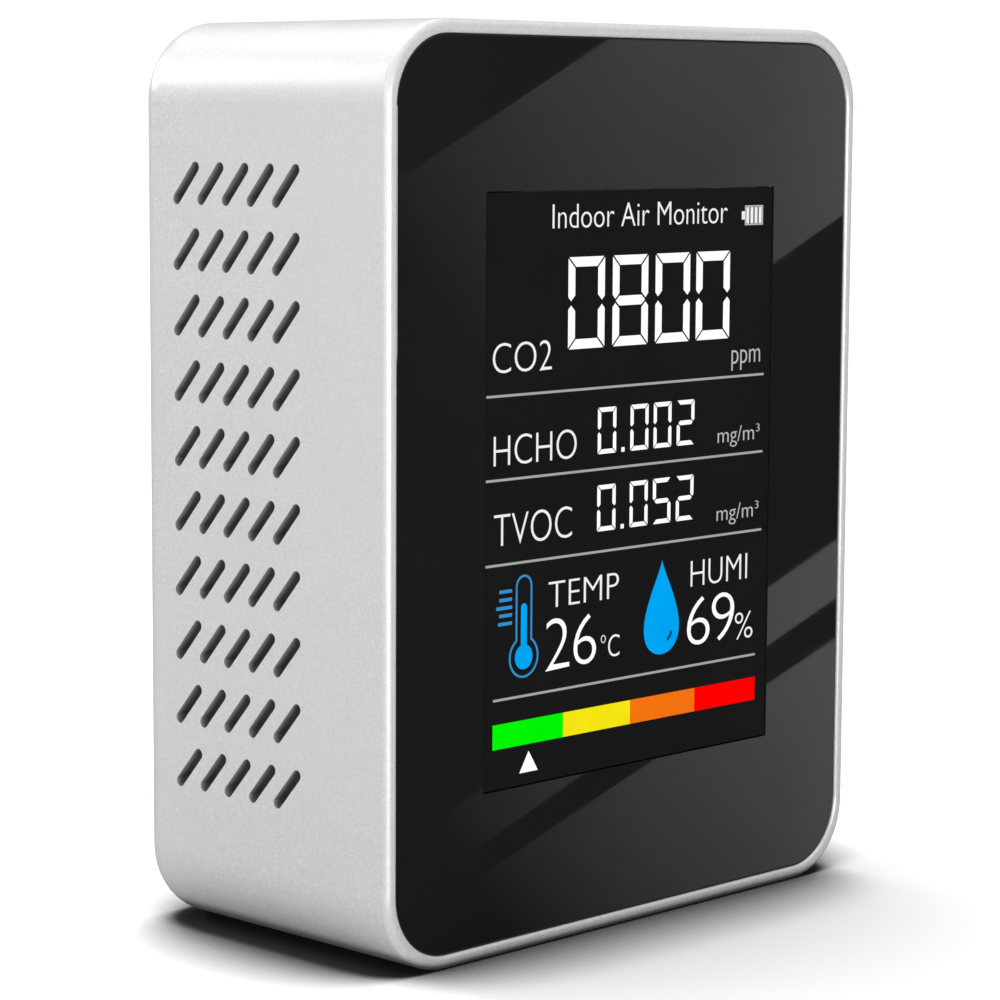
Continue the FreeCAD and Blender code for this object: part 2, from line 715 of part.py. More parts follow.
def make_cover_screws():
    """Four screws with cross recesses, sunk in the cover's seats."""
    body = new_body("cover_screws")
    seat = f"({COVER_BACK} - screw_seat_depth)"
    head_back = f"({seat} + screw_head_height)"
    add_along_y(body, circles("screw_head_diameter", COVER_SPOTS), "0", MIDDLE, seat, head_back)
    soften(body, "(screw_head_height/4)", flat_at_y(head_back))
    shank_end = f"({seat} - screw_length)"
    add_along_y(body, circles("screw_diameter", COVER_SPOTS), "0", MIDDLE, shank_end, seat)
    soften(body, "(screw_diameter/6)", flat_at_y(shank_end), "Chamfer")
    for bars in crosses(COVER_SPOTS):
        cut_along_y(body, bars, "0", MIDDLE, f"({head_back} - cross_depth)", head_back)


def make_power_button():
    """The round button on the rear, its retaining flange and its stem."""
    body = new_body("power_button")
    add_along_y(body, circles("button_diameter"), "button_x", SOCKET_Z, BUTTON_FLANGE_FRONT, BUTTON_BACK)
    soften(body, "button_edge_round", flat_at_y(BUTTON_BACK))
    flange = circles(BUTTON_FLANGE)
    add_along_y(body, flange, "button_x", SOCKET_Z, BUTTON_FLANGE_FRONT, BUTTON_FLANGE_BACK)
    stem = circles("stem_diameter")
    add_along_y(body, stem, "button_x", SOCKET_Z, STEM_FRONT, BUTTON_FLANGE_FRONT)


# ---- display --------------------------------------------------------------------------------

def make_display():
    """The glass sandwich, its polarizers and the backlight tray behind it."""
    width, height = "(window_width - 2*lcd_gap)", "(window_height - 2*lcd_gap)"
    block("lcd_polarizer_front", width, height, "0", LCD_MIDDLE, LCD_FRONT, FRONT_GLASS)
    block("lcd_front_glass", width, height, "0", LCD_MIDDLE, FRONT_GLASS, REAR_GLASS)
    width, height = REAR_GLASS_WIDTH, REAR_GLASS_HEIGHT
    block("lcd_rear_glass", width, height, "0", LCD_MIDDLE, REAR_GLASS, REAR_POLARIZER)
    width, height = BACKLIGHT_WIDTH, BACKLIGHT_HEIGHT
    block("lcd_polarizer_rear", width, height, "0", LCD_MIDDLE, REAR_POLARIZER, BACKLIGHT)

    floor = f"({BACKLIGHT_BACK} - backlight_wall)"
    inner_width = f"({BACKLIGHT_WIDTH} - 2*backlight_wall)"
    inner_height = f"({BACKLIGHT_HEIGHT} - 2*backlight_wall)"
    tray = block("backlight_frame", width, height, "0", LCD_MIDDLE, BACKLIGHT, BACKLIGHT_BACK)
    hollow = rectangles(inner_width, inner_height)
    cut_along_y(tray, hollow, "0", LCD_MIDDLE, BACKLIGHT, floor)

    reflector = f"({floor} - reflector_thickness)"
    block("backlight_reflector", inner_width, inner_height, "0", LCD_MIDDLE, reflector, floor)
    guide = f"({reflector} - light_guide_thickness)"
    lamp_room = "(led_height + led_gap)"
    guide_middle = f"({LCD_MIDDLE} + {lamp_room}/2)"
    guide_height = f"({inner_height} - {lamp_room})"
    block("light_guide", inner_width, guide_height, "0", guide_middle, guide, reflector)
    lamps = new_body("backlight_leds")
    lamp_z = f"({LCD_MIDDLE} - {inner_height}/2 + led_height/2)"
    spots = [(f"{step}*{inner_width}/8", "0") for step in (-3, -1, 1, 3)]
    add_along_y(lamps, rectangles("3*led_height", "led_height", spots), "0", lamp_z, guide, reflector)

    width, height = f"({BACKLIGHT_WIDTH} - 2*tape_margin)", f"({BACKLIGHT_HEIGHT} - 2*tape_margin)"
    block("lcd_foam_tape", width, height, "0", LCD_MIDDLE, BACKLIGHT_BACK, BOARD_FRONT)


def pin_row(body, add_or_cut, width, height, z, front, back):
    """One pin (or pin hole) repeated along X at the display's pin pitch."""
    first_x = "(-(lcd_pin_count - 1)*lcd_pin_pitch/2)"
    feature = add_or_cut(body, rectangles(width, height), first_x, z, front, back)
    row = body.newObject("PartDesign::LinearPattern", body.Label + "_row")
    row.Originals = [feature]
    row.Direction = (next(f for f in body.Origin.OriginFeatures if f.Role == "X_Axis"), [""])
    bind(row, "Length", "(lcd_pin_count - 1)*lcd_pin_pitch")
    bind(row, "Occurrences", "lcd_pin_count")
    body.Tip = row
    document.recompute()


def make_display_pins():
    """The pins from the rear glass's lower edge through the main board."""
    body = new_body("lcd_pins")
    tab_middle = f"({PIN_Z} + lcd_pin_gap/2 + lcd_pin_thickness)"
    tab_height = "(lcd_pin_gap + 3*lcd_pin_thickness)"
    tab_back = f"({REAR_POLARIZER} + lcd_pin_thickness)"
    pin_row(body, add_along_y, "lcd_pin_width", tab_height, tab_middle, REAR_POLARIZER, tab_back)
    stem_end = f"({BOARD_BACK} + 0.8)"
    pin_row(body, add_along_y, "lcd_pin_width", "lcd_pin_thickness", PIN_Z, REAR_POLARIZER, stem_end)


# ---- main board -----------------------------------------------------------------------------

def make_main_board():
    """The board on its four posts, with the display pins' holes, and its screws."""
    board = new_body("main_board")
    outline = rounded_rectangle(BOARD_WIDTH, "board_height", "board_corner_radius")
    add_along_y(board, outline, "0", LCD_MIDDLE, BOARD_FRONT, BOARD_BACK)
    cut_along_y(board, circles("small_screw_hole", BOARD_SPOTS), "0", LCD_MIDDLE, BOARD_FRONT, BOARD_BACK)
    hole_width = "(lcd_pin_width + 0.2)"
    hole_height = "(lcd_pin_thickness + 0.2)"
    pin_row(board, cut_along_y, hole_width, hole_height, PIN_Z, BOARD_FRONT, BOARD_BACK)

    screws = new_body("board_screws")
    head_back = f"({BOARD_BACK} + small_screw_head_height)"
    add_along_y(screws, circles("small_screw_head", BOARD_SPOTS), "0", LCD_MIDDLE, BOARD_BACK, head_back)
    soften(screws, "(small_screw_head_height/4)", flat_at_y(head_back))
    end = f"({BOARD_BACK} - board_screw_length)"
    add_along_y(screws, circles("small_screw_diameter", BOARD_SPOTS), "0", LCD_MIDDLE, end, BOARD_BACK)


def on_board(label, draw, x, rise, depth):
    """A sub-part on the rear face of the main board, x and rise from the board's middle."""
    body = new_body(label)
    add_along_y(body, draw, x, f"({LCD_MIDDLE} + {rise})", BOARD_BACK, f"({BOARD_BACK} + {depth})")
    return body


def make_board_parts():
    """Chips, crystal, buzzer and the small parts around them."""
    chips = (("controller_chip", "controller", "0"), ("display_driver_chip", "driver", "driver_rise"))
    for label, kind, rise in chips:
        chip = on_board(label, rectangles(f"{kind}_side", f"{kind}_side"), "chip_x", rise, f"{kind}_depth")
        soften(chip, "chip_chamfer", flat_at_y(f"({BOARD_BACK} + {kind}_depth)"), "Chamfer")

    outline = rounded_rectangle("crystal_width", "crystal_height", "crystal_round")
    crystal = on_board("crystal_can", outline, "chip_x", "crystal_rise", "crystal_depth")
    soften(crystal, "can_edge_round", flat_at_y(f"({BOARD_BACK} + crystal_depth)"))

    buzzer = on_board("buzzer", circles("buzzer_diameter"), "buzzer_x", "buzzer_rise", "buzzer_depth")
    top = f"({BOARD_BACK} + buzzer_depth)"
    soften(buzzer, "can_edge_round", flat_at_y(top))
    sound_hole = ("buzzer_x", f"({LCD_MIDDLE} + buzzer_rise)", f"({top} - buzzer_hole_depth)", top)
    cut_along_y(buzzer, circles("buzzer_hole"), *sound_hole)

    beside = "(controller_side/2 + 3.5)"
    spots = [(f"{side}{beside}", f"{z}") for side in ("-", "") for z in (-4, -1, 2, 5)]
    spots += [(f"{x}", "(-controller_side/2 - 2.6)") for x in (-4, 0, 4)]
    blocks = rectangles("capacitor_length", "capacitor_side", spots)
    on_board("chip_capacitors", blocks, "chip_x", "0", "capacitor_side")

    beside = "(driver_side/2 + 3)"
    spots = [(f"{side}{beside}", f"(driver_rise + {z})") for side in ("-", "") for z in (-3, -1, 1, 3)]
    spots += [(f"{x}", "(crystal_rise + 3.9)") for x in (-4, -2, 0, 2, 4)]
    blocks = rectangles("resistor_width", "resistor_length", spots)
    on_board("chip_resistors", blocks, "chip_x", "0", "resistor_depth")


def make_co2_sensor():
    """The infrared carbon dioxide module: metal case, two filter windows, sub-board and pins."""
    board = plate(
        "co2_sensor_board",
        rounded_rectangle("co2_width", "co2_height", "co2_board_round"),
        "co2_x",
        CO2_Z,
        CO2_BOARD,
        CO2_CASE,
    )
    column = "(co2_width/2 - co2_pin_margin)"
    pin_spots = [(side + column, f"{row}*co2_pin_pitch") for side in ("", "-") for row in range(-2, 3)]
    pin_ends = rectangles("co2_pin_side", "co2_pin_side", pin_spots)
    cut_along_y(board, pin_ends, "co2_x", CO2_Z, CO2_BOARD, CO2_CASE)
    pins = new_body("co2_sensor_pins")
    add_along_y(pins, pin_ends, "co2_x", CO2_Z, BOARD_BACK, f"({CO2_CASE} - 0.02)")

    case = new_body("co2_sensor_case")
    outline = rounded_rectangle(
        "(co2_width - 2*co2_case_inset)", "(co2_height - 2*co2_case_inset)", "co2_round"
    )
    case_back = f"({CO2_CASE} + co2_depth)"
    add_along_y(case, outline, "co2_x", CO2_Z, CO2_CASE, case_back)
    soften(case, "(co2_round/2)", flat_at_y(case_back))
    window_spots = (("0", "co2_height/4"), ("0", "-co2_height/4"))
    windows = rectangles("membrane_width", "membrane_height", window_spots)
    floor = f"({case_back} - membrane_depth)"
    cut_along_y(case, windows, "co2_x", CO2_Z, floor, case_back)
    membrane = new_body("co2_sensor_membrane")
    sheets = rectangles("(membrane_width - 0.2)", "(membrane_height - 0.2)", window_spots)
    add_along_y(membrane, sheets, "co2_x", CO2_Z, floor, f"({floor} + membrane_depth/2)")


def make_gas_sensors():
    """The vapour sensor's can, the formaldehyde cell and the climate sensor."""
    across, up = "sensor_hole_circle/2", "sensor_hole_circle*0.866"
    ring = [("0", "0"), ("sensor_hole_circle", "0"), ("-sensor_hole_circle", "0")]
    ring += [(f"{side}{across}", f"{way}{up}") for side in ("", "-") for way in ("", "-")]

    can = new_body("voc_sensor_can")
    can_back = f"({BOARD_BACK} + voc_height)"
    add_along_y(can, circles("voc_can_diameter"), "voc_x", VOC_Z, BOARD_BACK, can_back)
    soften(can, "voc_edge_round", flat_at_y(can_back))
    flange_back = f"({BOARD_BACK} + voc_flange_thickness)"
    add_along_y(can, circles("voc_flange_diameter"), "voc_x", VOC_Z, BOARD_BACK, flange_back)
    floor = f"({can_back} - sensor_hole_depth)"
    cut_along_y(can, circles("sensor_hole", ring), "voc_x", VOC_Z, floor, can_back)

    side = rectangles("hcho_side", "hcho_side")
    cell = on_board("hcho_sensor_body", side, "hcho_x", "hcho_rise", "hcho_height")
    cell_back = f"({BOARD_BACK} + hcho_height)"
    soften(cell, "can_edge_round", flat_at_y(cell_back), "Chamfer")
    cap = new_body("hcho_sensor_cap")
    cap_back = f"({cell_back} + hcho_cap_height)"
    add_along_y(cap, circles("hcho_cap_diameter"), "hcho_x", HCHO_Z, cell_back, cap_back)
    soften(cap, "can_edge_round", flat_at_y(cap_back))
    floor = f"({cap_back} - sensor_hole_depth)"
    cut_along_y(cap, circles("(sensor_hole + 0.1)", ring), "hcho_x", HCHO_Z, floor, cap_back)

    outline = rectangles("climate_side", "climate_side")
    climate = on_board("climate_sensor", outline, "climate_x", "climate_rise", "climate_depth")
    top = f"({BOARD_BACK} + climate_depth)"
    port = ("climate_x", f"({LCD_MIDDLE} + climate_rise)", f"({top} - climate_hole_depth)", top)
    cut_along_y(climate, circles("climate_hole"), *port)


# ---- power board ----------------------------------------------------------------------------

def make_power_board():
    """The small board on the cover's shelves, its screws and its electronic parts."""
    board = new_body("power_board")
    middle_y = f"({POWER_BOARD_FRONT} + power_board_depth/2)"
    outline = rounded_rectangle(POWER_BOARD_WIDTH, "power_board_depth", "power_board_round")
    add_along_z(board, outline, "0", middle_y, "power_board_z", POWER_TOP)
    screw_holes = circles("small_screw_hole", SHELF_SPOTS)
    cut_along_z(board, screw_holes, "0", SHELF_SCREW_Y, "power_board_z", POWER_TOP)
    notch_depth = f"({POWER_BOARD_BACK} - {SWITCH_BACK} + 1)"
    notch = rectangles(f"({BUTTON_FLANGE} + 3*shelf_gap)", notch_depth)
    notch_y = f"({SWITCH_BACK} + {notch_depth}/2)"
    cut_along_z(board, notch, "button_x", notch_y, "power_board_z", POWER_TOP)

    screws = new_body("power_board_screws")
    head_top = f"({POWER_TOP} + small_screw_head_height)"
    add_along_z(screws, circles("small_screw_head", SHELF_SPOTS), "0", SHELF_SCREW_Y, POWER_TOP, head_top)
    end = f"({POWER_TOP} - shelf_screw_length)"
    add_along_z(screws, circles("small_screw_diameter", SHELF_SPOTS), "0", SHELF_SCREW_Y, end, POWER_TOP)

    charger = new_body("charger_chip")
    spot = ("charger_x", "power_parts_y", POWER_TOP)
    add_along_z(charger, rectangles("charger_side", "charger_side"), *spot, f"({POWER_TOP} + charger_depth)")
    inductor = new_body("power_inductor")
    outline = rounded_rectangle("inductor_side", "inductor_side", "inductor_round")
    spot = ("inductor_x", "power_parts_y", POWER_TOP)
    add_along_z(inductor, outline, *spot, f"({POWER_TOP} + inductor_depth)")
    capacitors = new_body("power_capacitors")
    spots = [(f"{x}", f"{y}") for x in (-2, 0, 2) for y in (-1.3, 1.3)]
    blocks = rectangles("capacitor_side", "power_capacitor_length", spots)
    spot = ("power_capacitor_x", "power_capacitor_y", POWER_TOP)
    add_along_z(capacitors, blocks, *spot, f"({POWER_TOP} + power_capacitor_depth)")


def make_socket():
    """The charging socket: a drawn metal shell and the tongue in it."""
    shell = new_body("usb_socket_shell")
    outline = rounded_rectangle("socket_width", "socket_height", "(socket_height/2 - 0.05)")
    front = f"({SOCKET_BACK} - socket_length)"
    add_along_y(shell, outline, "socket_x", SOCKET_Z, front, SOCKET_BACK)
    mouth = rounded_rectangle(
        "(socket_width - 2*socket_wall)",
        "(socket_height - 2*socket_wall)",
        "(socket_height/2 - socket_wall - 0.05)",
    )
    cut_along_y(shell, mouth, "socket_x", SOCKET_Z, f"({front} + socket_wall)", SOCKET_BACK)
    tongue = ("usb_socket_tongue", "tongue_width", "tongue_thickness", "socket_x", SOCKET_Z)
    block(*tongue, f"({front} + socket_wall)", f"({SOCKET_BACK} - tongue_inset)")


def make_switch():
    """The side-push switch behind the button, and its plunger."""
    body = new_body("switch_body")
    middle_z = f"({POWER_TOP} + switch_height/2)"
    outline = rectangles("switch_width", "switch_height")
    add_along_y(body, outline, "button_x", middle_z, SWITCH_FRONT, SWITCH_BACK)
    guide = rectangles("(plunger_width + 2*plunger_gap)", "(plunger_height + 2*plunger_gap)")
    guide_end = f"({PLUNGER_FRONT} - button_travel - 0.2)"
    cut_along_y(body, guide, "button_x", SOCKET_Z, guide_end, SWITCH_BACK)
    plunger = ("switch_plunger", "plunger_width", "plunger_height", "button_x", SOCKET_Z)
    block(*plunger, PLUNGER_FRONT, PLUNGER_BACK)


# ---- battery, connectors and leads ----------------------------------------------------------

def make_battery():
    """The pouch cell and the tape that holds it to the cover."""
    cell = new_body("battery_cell")
    outline = rounded_rectangle("battery_width", "battery_height", "battery_round")
    middle_z = "(battery_bottom_z + battery_height/2)"
    add_along_y(cell, outline, "battery_x", middle_z, BATTERY_FRONT, BATTERY_BACK)
    soften(cell, "(battery_round*0.8)", flat_at_y(BATTERY_FRONT))
    width, height = "(battery_width - 2*tape_margin)", "(battery_height - 2*tape_margin)"
    block("battery_tape", width, height, "battery_x", middle_z, BATTERY_BACK, COVER_FRONT)


def make_connector(socket_label, plug_label, add, cut, width, across, base):
    """A socket on a board and the plug in it, standing from the level base; add and cut set the way."""
    inner_width = f"({width} - 2*connector_wall)"
    inner_height = "(connector_height - 2*connector_wall)"
    floor = f"({base} + connector_wall)"
    top = f"({base} + connector_depth)"
    socket = new_body(socket_label)
    add(socket, rectangles(width, "connector_height"), *across, base, top)
    cut(socket, rectangles(inner_width, inner_height), *across, floor, top)
    plug = new_body(plug_label)
    fit = rectangles(f"({inner_width} - 2*connector_gap)", f"({inner_height} - 2*connector_gap)")
    add(plug, fit, *across, floor, f"({floor} + plug_length)")


def make_connectors():
    names = ("battery_socket", "battery_plug")
    spot = ("battery_socket_x", CONNECTOR_Y)
    make_connector(*names, add_along_z, cut_along_z, "battery_socket_width", spot, POWER_TOP)
    names = ("harness_socket_power", "harness_plug_power")
    spot = ("harness_x", CONNECTOR_Y)
    make_connector(*names, add_along_z, cut_along_z, "harness_socket_width", spot, POWER_TOP)
    names = ("harness_socket_main", "harness_plug_main")
    spot = ("harness_x", HARNESS_Z)
    make_connector(*names, add_along_y, cut_along_y, "harness_socket_width", spot, BOARD_BACK)


def wire_solid(points, diameter):
    """A round wire through the points, each turn an arc that touches both runs."""
    spots = [FreeCAD.Vector(*(size(f) for f in point)) for point in points]
    edges = []
    start = spots[0]
    for before, corner, after in zip(spots, spots[1:], spots[2:]):
        arriving, leaving = corner - before, after - corner
        half_turn = arriving.getAngle(leaving) / 2
        setback = 0.45 * min(arriving.Length, leaving.Length)
        arriving.normalize()
        leaving.normalize()
        arc_start, arc_end = corner - arriving * setback, corner + leaving * setback
        inward = (leaving - arriving).normalize()
        radius = setback / math.tan(half_turn)
        middle = corner + inward * (radius / math.cos(half_turn) - radius)
        edges.append(Part.makeLine(start, arc_start))
        edges.append(Part.Arc(arc_start, middle, arc_end).toShape())
        start = arc_end
    edges.append(Part.makeLine(start, spots[-1]))
    section = Part.makeCircle(diameter / 2, spots[0], spots[1] - spots[0])
    return Part.Wire(edges).makePipeShell([Part.Wire(section)], True, False)


def wires(label, routes, diameter):
    """A sub-part of one or more wires."""
    item = document.addObject("Part::Feature", label)
    item.Label = label
    solids = [wire_solid(route, size(diameter)) for route in routes]
    item.Shape = solids[0] if len(solids) == 1 else Part.makeCompound(solids)


def make_leads():
    """The battery's two leads and the ribbon of wires between the boards."""
    plug_top = f"({POWER_TOP} + connector_wall + plug_length)"
    turn_z = f"(({plug_top} + battery_bottom_z)/2)"
    cell_y = f"(({BATTERY_FRONT} + {BATTERY_BACK})/2)"
    for label, side in (("battery_lead_red", "-"), ("battery_lead_black", "+")):
        x = f"(battery_socket_x {side} lead_pitch/2)"
        route = [(x, CONNECTOR_Y, plug_top), (x, CONNECTOR_Y, turn_z), (x, cell_y, turn_z)]
        route.append((x, cell_y, "battery_bottom_z"))
        wires(label, [route], "lead_diameter")
    plug_end = f"({BOARD_BACK} + connector_wall + plug_length)"
    routes = []
    for step in range(SIZES["wire_count"]):
        x = f"(harness_x + ({step} - (wire_count - 1)/2)*wire_pitch)"
        routes.append([(x, plug_end, HARNESS_Z), (x, CONNECTOR_Y, HARNESS_Z), (x, CONNECTOR_Y, plug_top)])
    wires("board_harness", routes, "wire_diameter")


# ---- checks and export ----------------------------------------------------------------------

NODES = """
    main_shell rear_cover front_panel panel_tape cover_screws power_button
    lcd_polarizer_front lcd_front_glass lcd_rear_glass lcd_polarizer_rear light_guide backlight_frame
    backlight_reflector backlight_leds lcd_pins lcd_foam_tape
    main_board board_screws controller_chip display_driver_chip crystal_can buzzer
    chip_capacitors chip_resistors
    co2_sensor_case co2_sensor_membrane co2_sensor_board co2_sensor_pins
    voc_sensor_can hcho_sensor_body hcho_sensor_cap climate_sensor
    power_board power_board_screws charger_chip power_inductor power_capacitors
    usb_socket_shell usb_socket_tongue switch_body switch_plunger
    battery_cell battery_tape battery_lead_red battery_lead_black battery_plug battery_socket
    board_harness harness_socket_main harness_plug_main harness_socket_power harness_plug_power
""".split()


def export_nodes():
    """Checks every object and writes each node's STEP file."""
    document.recompute()
    for item in document.Objects:
        if "Invalid" in item.State or "Error" in item.State:
            raise RuntimeError(f"{item.Name} is {item.State}")
    os.makedirs("parts", exist_ok=True)
    for label in NODES:
        item = document.getObjectsByLabel(label)[0]
        shape = item.Shape
        if shape.isNull() or not shape.isValid() or not shape.Solids:
            raise RuntimeError(f"{label} has no valid solid")
        shape.exportStep(f"parts/{label}.step")


make_sheet()
make_main_shell()
make_front_panel()
make_rear_cover()
make_cover_screws()
make_power_button()
make_display()
make_display_pins()
make_main_board()
make_board_parts()
make_co2_sensor()
make_gas_sensors()
make_power_board()
make_socket()
make_switch()
make_battery()
make_connectors()
make_leads()
export_nodes()
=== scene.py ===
"""Looks of the air quality monitor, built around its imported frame.

The frame is the CAD model: metres, +Z up, the display faces -Y. The display's lettering, digits and
symbols and the button's mark are made here; every other piece is a CAD piece that gets its finish here.
Places on the display are millimetres from the display's middle, x to the right and z up.
"""
import json
import math

import bmesh
import bpy
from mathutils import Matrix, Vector


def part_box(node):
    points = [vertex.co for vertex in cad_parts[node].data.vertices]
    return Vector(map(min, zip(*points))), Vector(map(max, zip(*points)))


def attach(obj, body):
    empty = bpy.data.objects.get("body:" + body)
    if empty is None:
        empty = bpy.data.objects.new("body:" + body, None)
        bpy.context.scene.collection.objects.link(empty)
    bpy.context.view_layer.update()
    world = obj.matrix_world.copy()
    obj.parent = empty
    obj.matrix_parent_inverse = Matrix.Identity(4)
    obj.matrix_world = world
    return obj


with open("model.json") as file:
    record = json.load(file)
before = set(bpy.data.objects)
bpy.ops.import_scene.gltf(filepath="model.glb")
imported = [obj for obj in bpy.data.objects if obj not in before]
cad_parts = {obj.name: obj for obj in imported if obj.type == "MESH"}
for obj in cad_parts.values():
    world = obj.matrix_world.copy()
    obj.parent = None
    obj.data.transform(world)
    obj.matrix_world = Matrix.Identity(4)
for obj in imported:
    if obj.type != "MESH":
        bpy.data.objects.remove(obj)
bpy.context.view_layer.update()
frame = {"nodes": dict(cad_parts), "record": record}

MM = 0.001

film_low, film_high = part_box("lcd_polarizer_front")
panel_low, panel_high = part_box("front_panel")
button_low, button_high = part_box("power_button")
DISPLAY_MIDDLE = (film_low + film_high) / 2
FILM_FACE = film_low.y
BUTTON_MIDDLE = (button_low + button_high) / 2
BUTTON_FACE = button_high.y

PRINT_DEPTH = 0.025 * MM
MARK_DEPTH = 0.02 * MM
WELD_DISTANCE = 0.0005 * MM


# ---- node helpers ---------------------------------------------------------------------------

def add(tree, kind, inputs=None, **settings):
    """A node with its settings. An input is a plain value or another node's output."""
    node = tree.nodes.new(kind)
    for key, value in settings.items():
        setattr(node, key, value)
    for key, value in (inputs or {}).items():
        if isinstance(value, bpy.types.NodeSocket):
            tree.links.new(value, node.inputs[key])
        else:
            node.inputs[key].default_value = value
    return node


def maths(tree, operation, first, second=0.0, third=0.0):
    """The result of a Math node."""
    inputs = {0: first, 1: second, 2: third}
    return add(tree, "ShaderNodeMath", inputs, operation=operation).outputs[0]


def blend_colours(tree, mask, first, second):
    """first where the mask is 0 and second where it is 1."""
    inputs = {0: mask, 6: first, 7: second}
    return add(tree, "ShaderNodeMix", inputs, data_type="RGBA").outputs[2]


def spread(tree, value, low, high, to_low=0.0, to_high=1.0):
    """value's stretch from low to high laid over to_low to to_high."""
    inputs = {0: value, 1: low, 2: high, 3: to_low, 4: to_high}
    return add(tree, "ShaderNodeMapRange", inputs).outputs[0]


def noise(tree, scale, detail=3.0, roughness=0.5, vector=None):
    """Soft noise on object coordinates, scale in bumps per metre."""
    place = vector or add(tree, "ShaderNodeTexCoord").outputs["Object"]
    inputs = {"Vector": place, "Scale": scale, "Detail": detail, "Roughness": roughness}
    return add(tree, "ShaderNodeTexNoise", inputs).outputs["Fac"]


def shader_group(name, inputs, outputs):
    """An empty shader group with its sockets, and its input and output nodes."""
    tree = bpy.data.node_groups.new(name, "ShaderNodeTree")
    for label, kind, value in inputs:
        socket = tree.interface.new_socket(label, in_out="INPUT", socket_type=kind)
        socket.default_value = value
    for label, kind in outputs:
        tree.interface.new_socket(label, in_out="OUTPUT", socket_type=kind)
    given = tree.nodes.new("NodeGroupInput").outputs
    result = tree.nodes.new("NodeGroupOutput").inputs
    return tree, given, result


def place_group(tree, group, **inputs):
    """The outputs of a group placed in a material. Spaces in labels are written as underscores."""
    node = tree.nodes.new("ShaderNodeGroup")
    node.node_tree = group
    for label, value in inputs.items():
        socket = node.inputs[label.replace("_", " ")]
        if isinstance(value, bpy.types.NodeSocket):
            tree.links.new(value, socket)
        else:
            socket.default_value = (*value, 1.0) if isinstance(value, tuple) else value
    return node.outputs


FLOAT, COLOUR, VECTOR = "NodeSocketFloat", "NodeSocketColor", "NodeSocketVector"


# ---- shared surface effects -----------------------------------------------------------------

def make_moulded_grain():
    """Fine moulded texture: a height for bump, and a roughness that wanders."""
    inputs = [("Scale", FLOAT, 4000.0), ("Roughness", FLOAT, 0.4), ("Spread", FLOAT, 0.08)]
    tree, given, result = shader_group("moulded_grain", inputs, [("Height", FLOAT), ("Roughness", FLOAT)])
    fine = noise(tree, given["Scale"], 2.0, 0.6)
    broad = noise(tree, maths(tree, "MULTIPLY", given["Scale"], 0.03), 3.0)
    wander = maths(tree, "SUBTRACT", maths(tree, "ADD", broad, maths(tree, "MULTIPLY", fine, 0.3)), 0.65)
    roughness = maths(tree, "MULTIPLY_ADD", wander, given["Spread"], given["Roughness"])
    tree.links.new(fine, result["Height"])
    tree.links.new(roughness, result["Roughness"])
    return tree


def make_flakes():
    """Pearl flakes: small cells that are a little lighter or darker than the colour."""
    inputs = [("Colour", COLOUR, (0.6, 0.6, 0.6, 1)), ("Flake", COLOUR, (0.8, 0.8, 0.8, 1)),
              ("Scale", FLOAT, 6000.0), ("Amount", FLOAT, 0.3)]
    tree, given, result = shader_group("pearl_flakes", inputs, [("Colour", COLOUR)])
    place = add(tree, "ShaderNodeTexCoord").outputs["Object"]
    cells = add(tree, "ShaderNodeTexVoronoi", {"Vector": place, "Scale": given["Scale"]})
    pick = add(tree, "ShaderNodeSeparateColor", {0: cells.outputs["Color"]}).outputs[0]
    mask = maths(tree, "MULTIPLY", spread(tree, pick, 0.35, 1.0), given["Amount"])
    tree.links.new(blend_colours(tree, mask, given["Colour"], given["Flake"]), result["Colour"])
    return tree


def make_edge_wear():
    """A mask that is 1 where an edge is worn, broken up by noise."""
    inputs = [("Radius", FLOAT, 0.0004), ("Scale", FLOAT, 900.0), ("Amount", FLOAT, 0.5)]
    tree, given, result = shader_group("edge_wear", inputs, [("Mask", FLOAT)])
    rounded = add(tree, "ShaderNodeBevel", {"Radius": given["Radius"]}, samples=4).outputs[0]
    true_normal = add(tree, "ShaderNodeNewGeometry").outputs["Normal"]
    facing = add(tree, "ShaderNodeVectorMath", {0: rounded, 1: true_normal}, operation="DOT_PRODUCT")
    edge = spread(tree, facing.outputs["Value"], 0.99, 0.8)
    broken = spread(tree, noise(tree, given["Scale"], 4.0, 0.65), 0.4, 0.62)
    mask = maths(tree, "MULTIPLY", maths(tree, "MULTIPLY", edge, broken), given["Amount"])
    tree.links.new(mask, result["Mask"])
    return tree


def make_smears():
    """Faint wipe marks and finger grease on a glossy face: a roughness that wanders."""
    inputs = [("Roughness", FLOAT, 0.03), ("Smear", FLOAT, 0.02), ("Scale", FLOAT, 60.0)]
    tree, given, result = shader_group("wipe_smears", inputs, [("Roughness", FLOAT), ("Height", FLOAT)])
    place = add(tree, "ShaderNodeTexCoord").outputs["Object"]
    turned = add(tree, "ShaderNodeMapping", {"Vector": place, "Rotation": (0.3, 0.6, 0.2),
                                             "Scale": (1.0, 1.0, 5.0)}).outputs[0]
    streaks = spread(tree, noise(tree, given["Scale"], 5.0, 0.6, turned), 0.5, 0.75)
    roughness = maths(tree, "MULTIPLY_ADD", streaks, given["Smear"], given["Roughness"])
    ripple = noise(tree, maths(tree, "MULTIPLY", given["Scale"], 0.4), 1.0)
    tree.links.new(roughness, result["Roughness"])
    tree.links.new(ripple, result["Height"])
    return tree


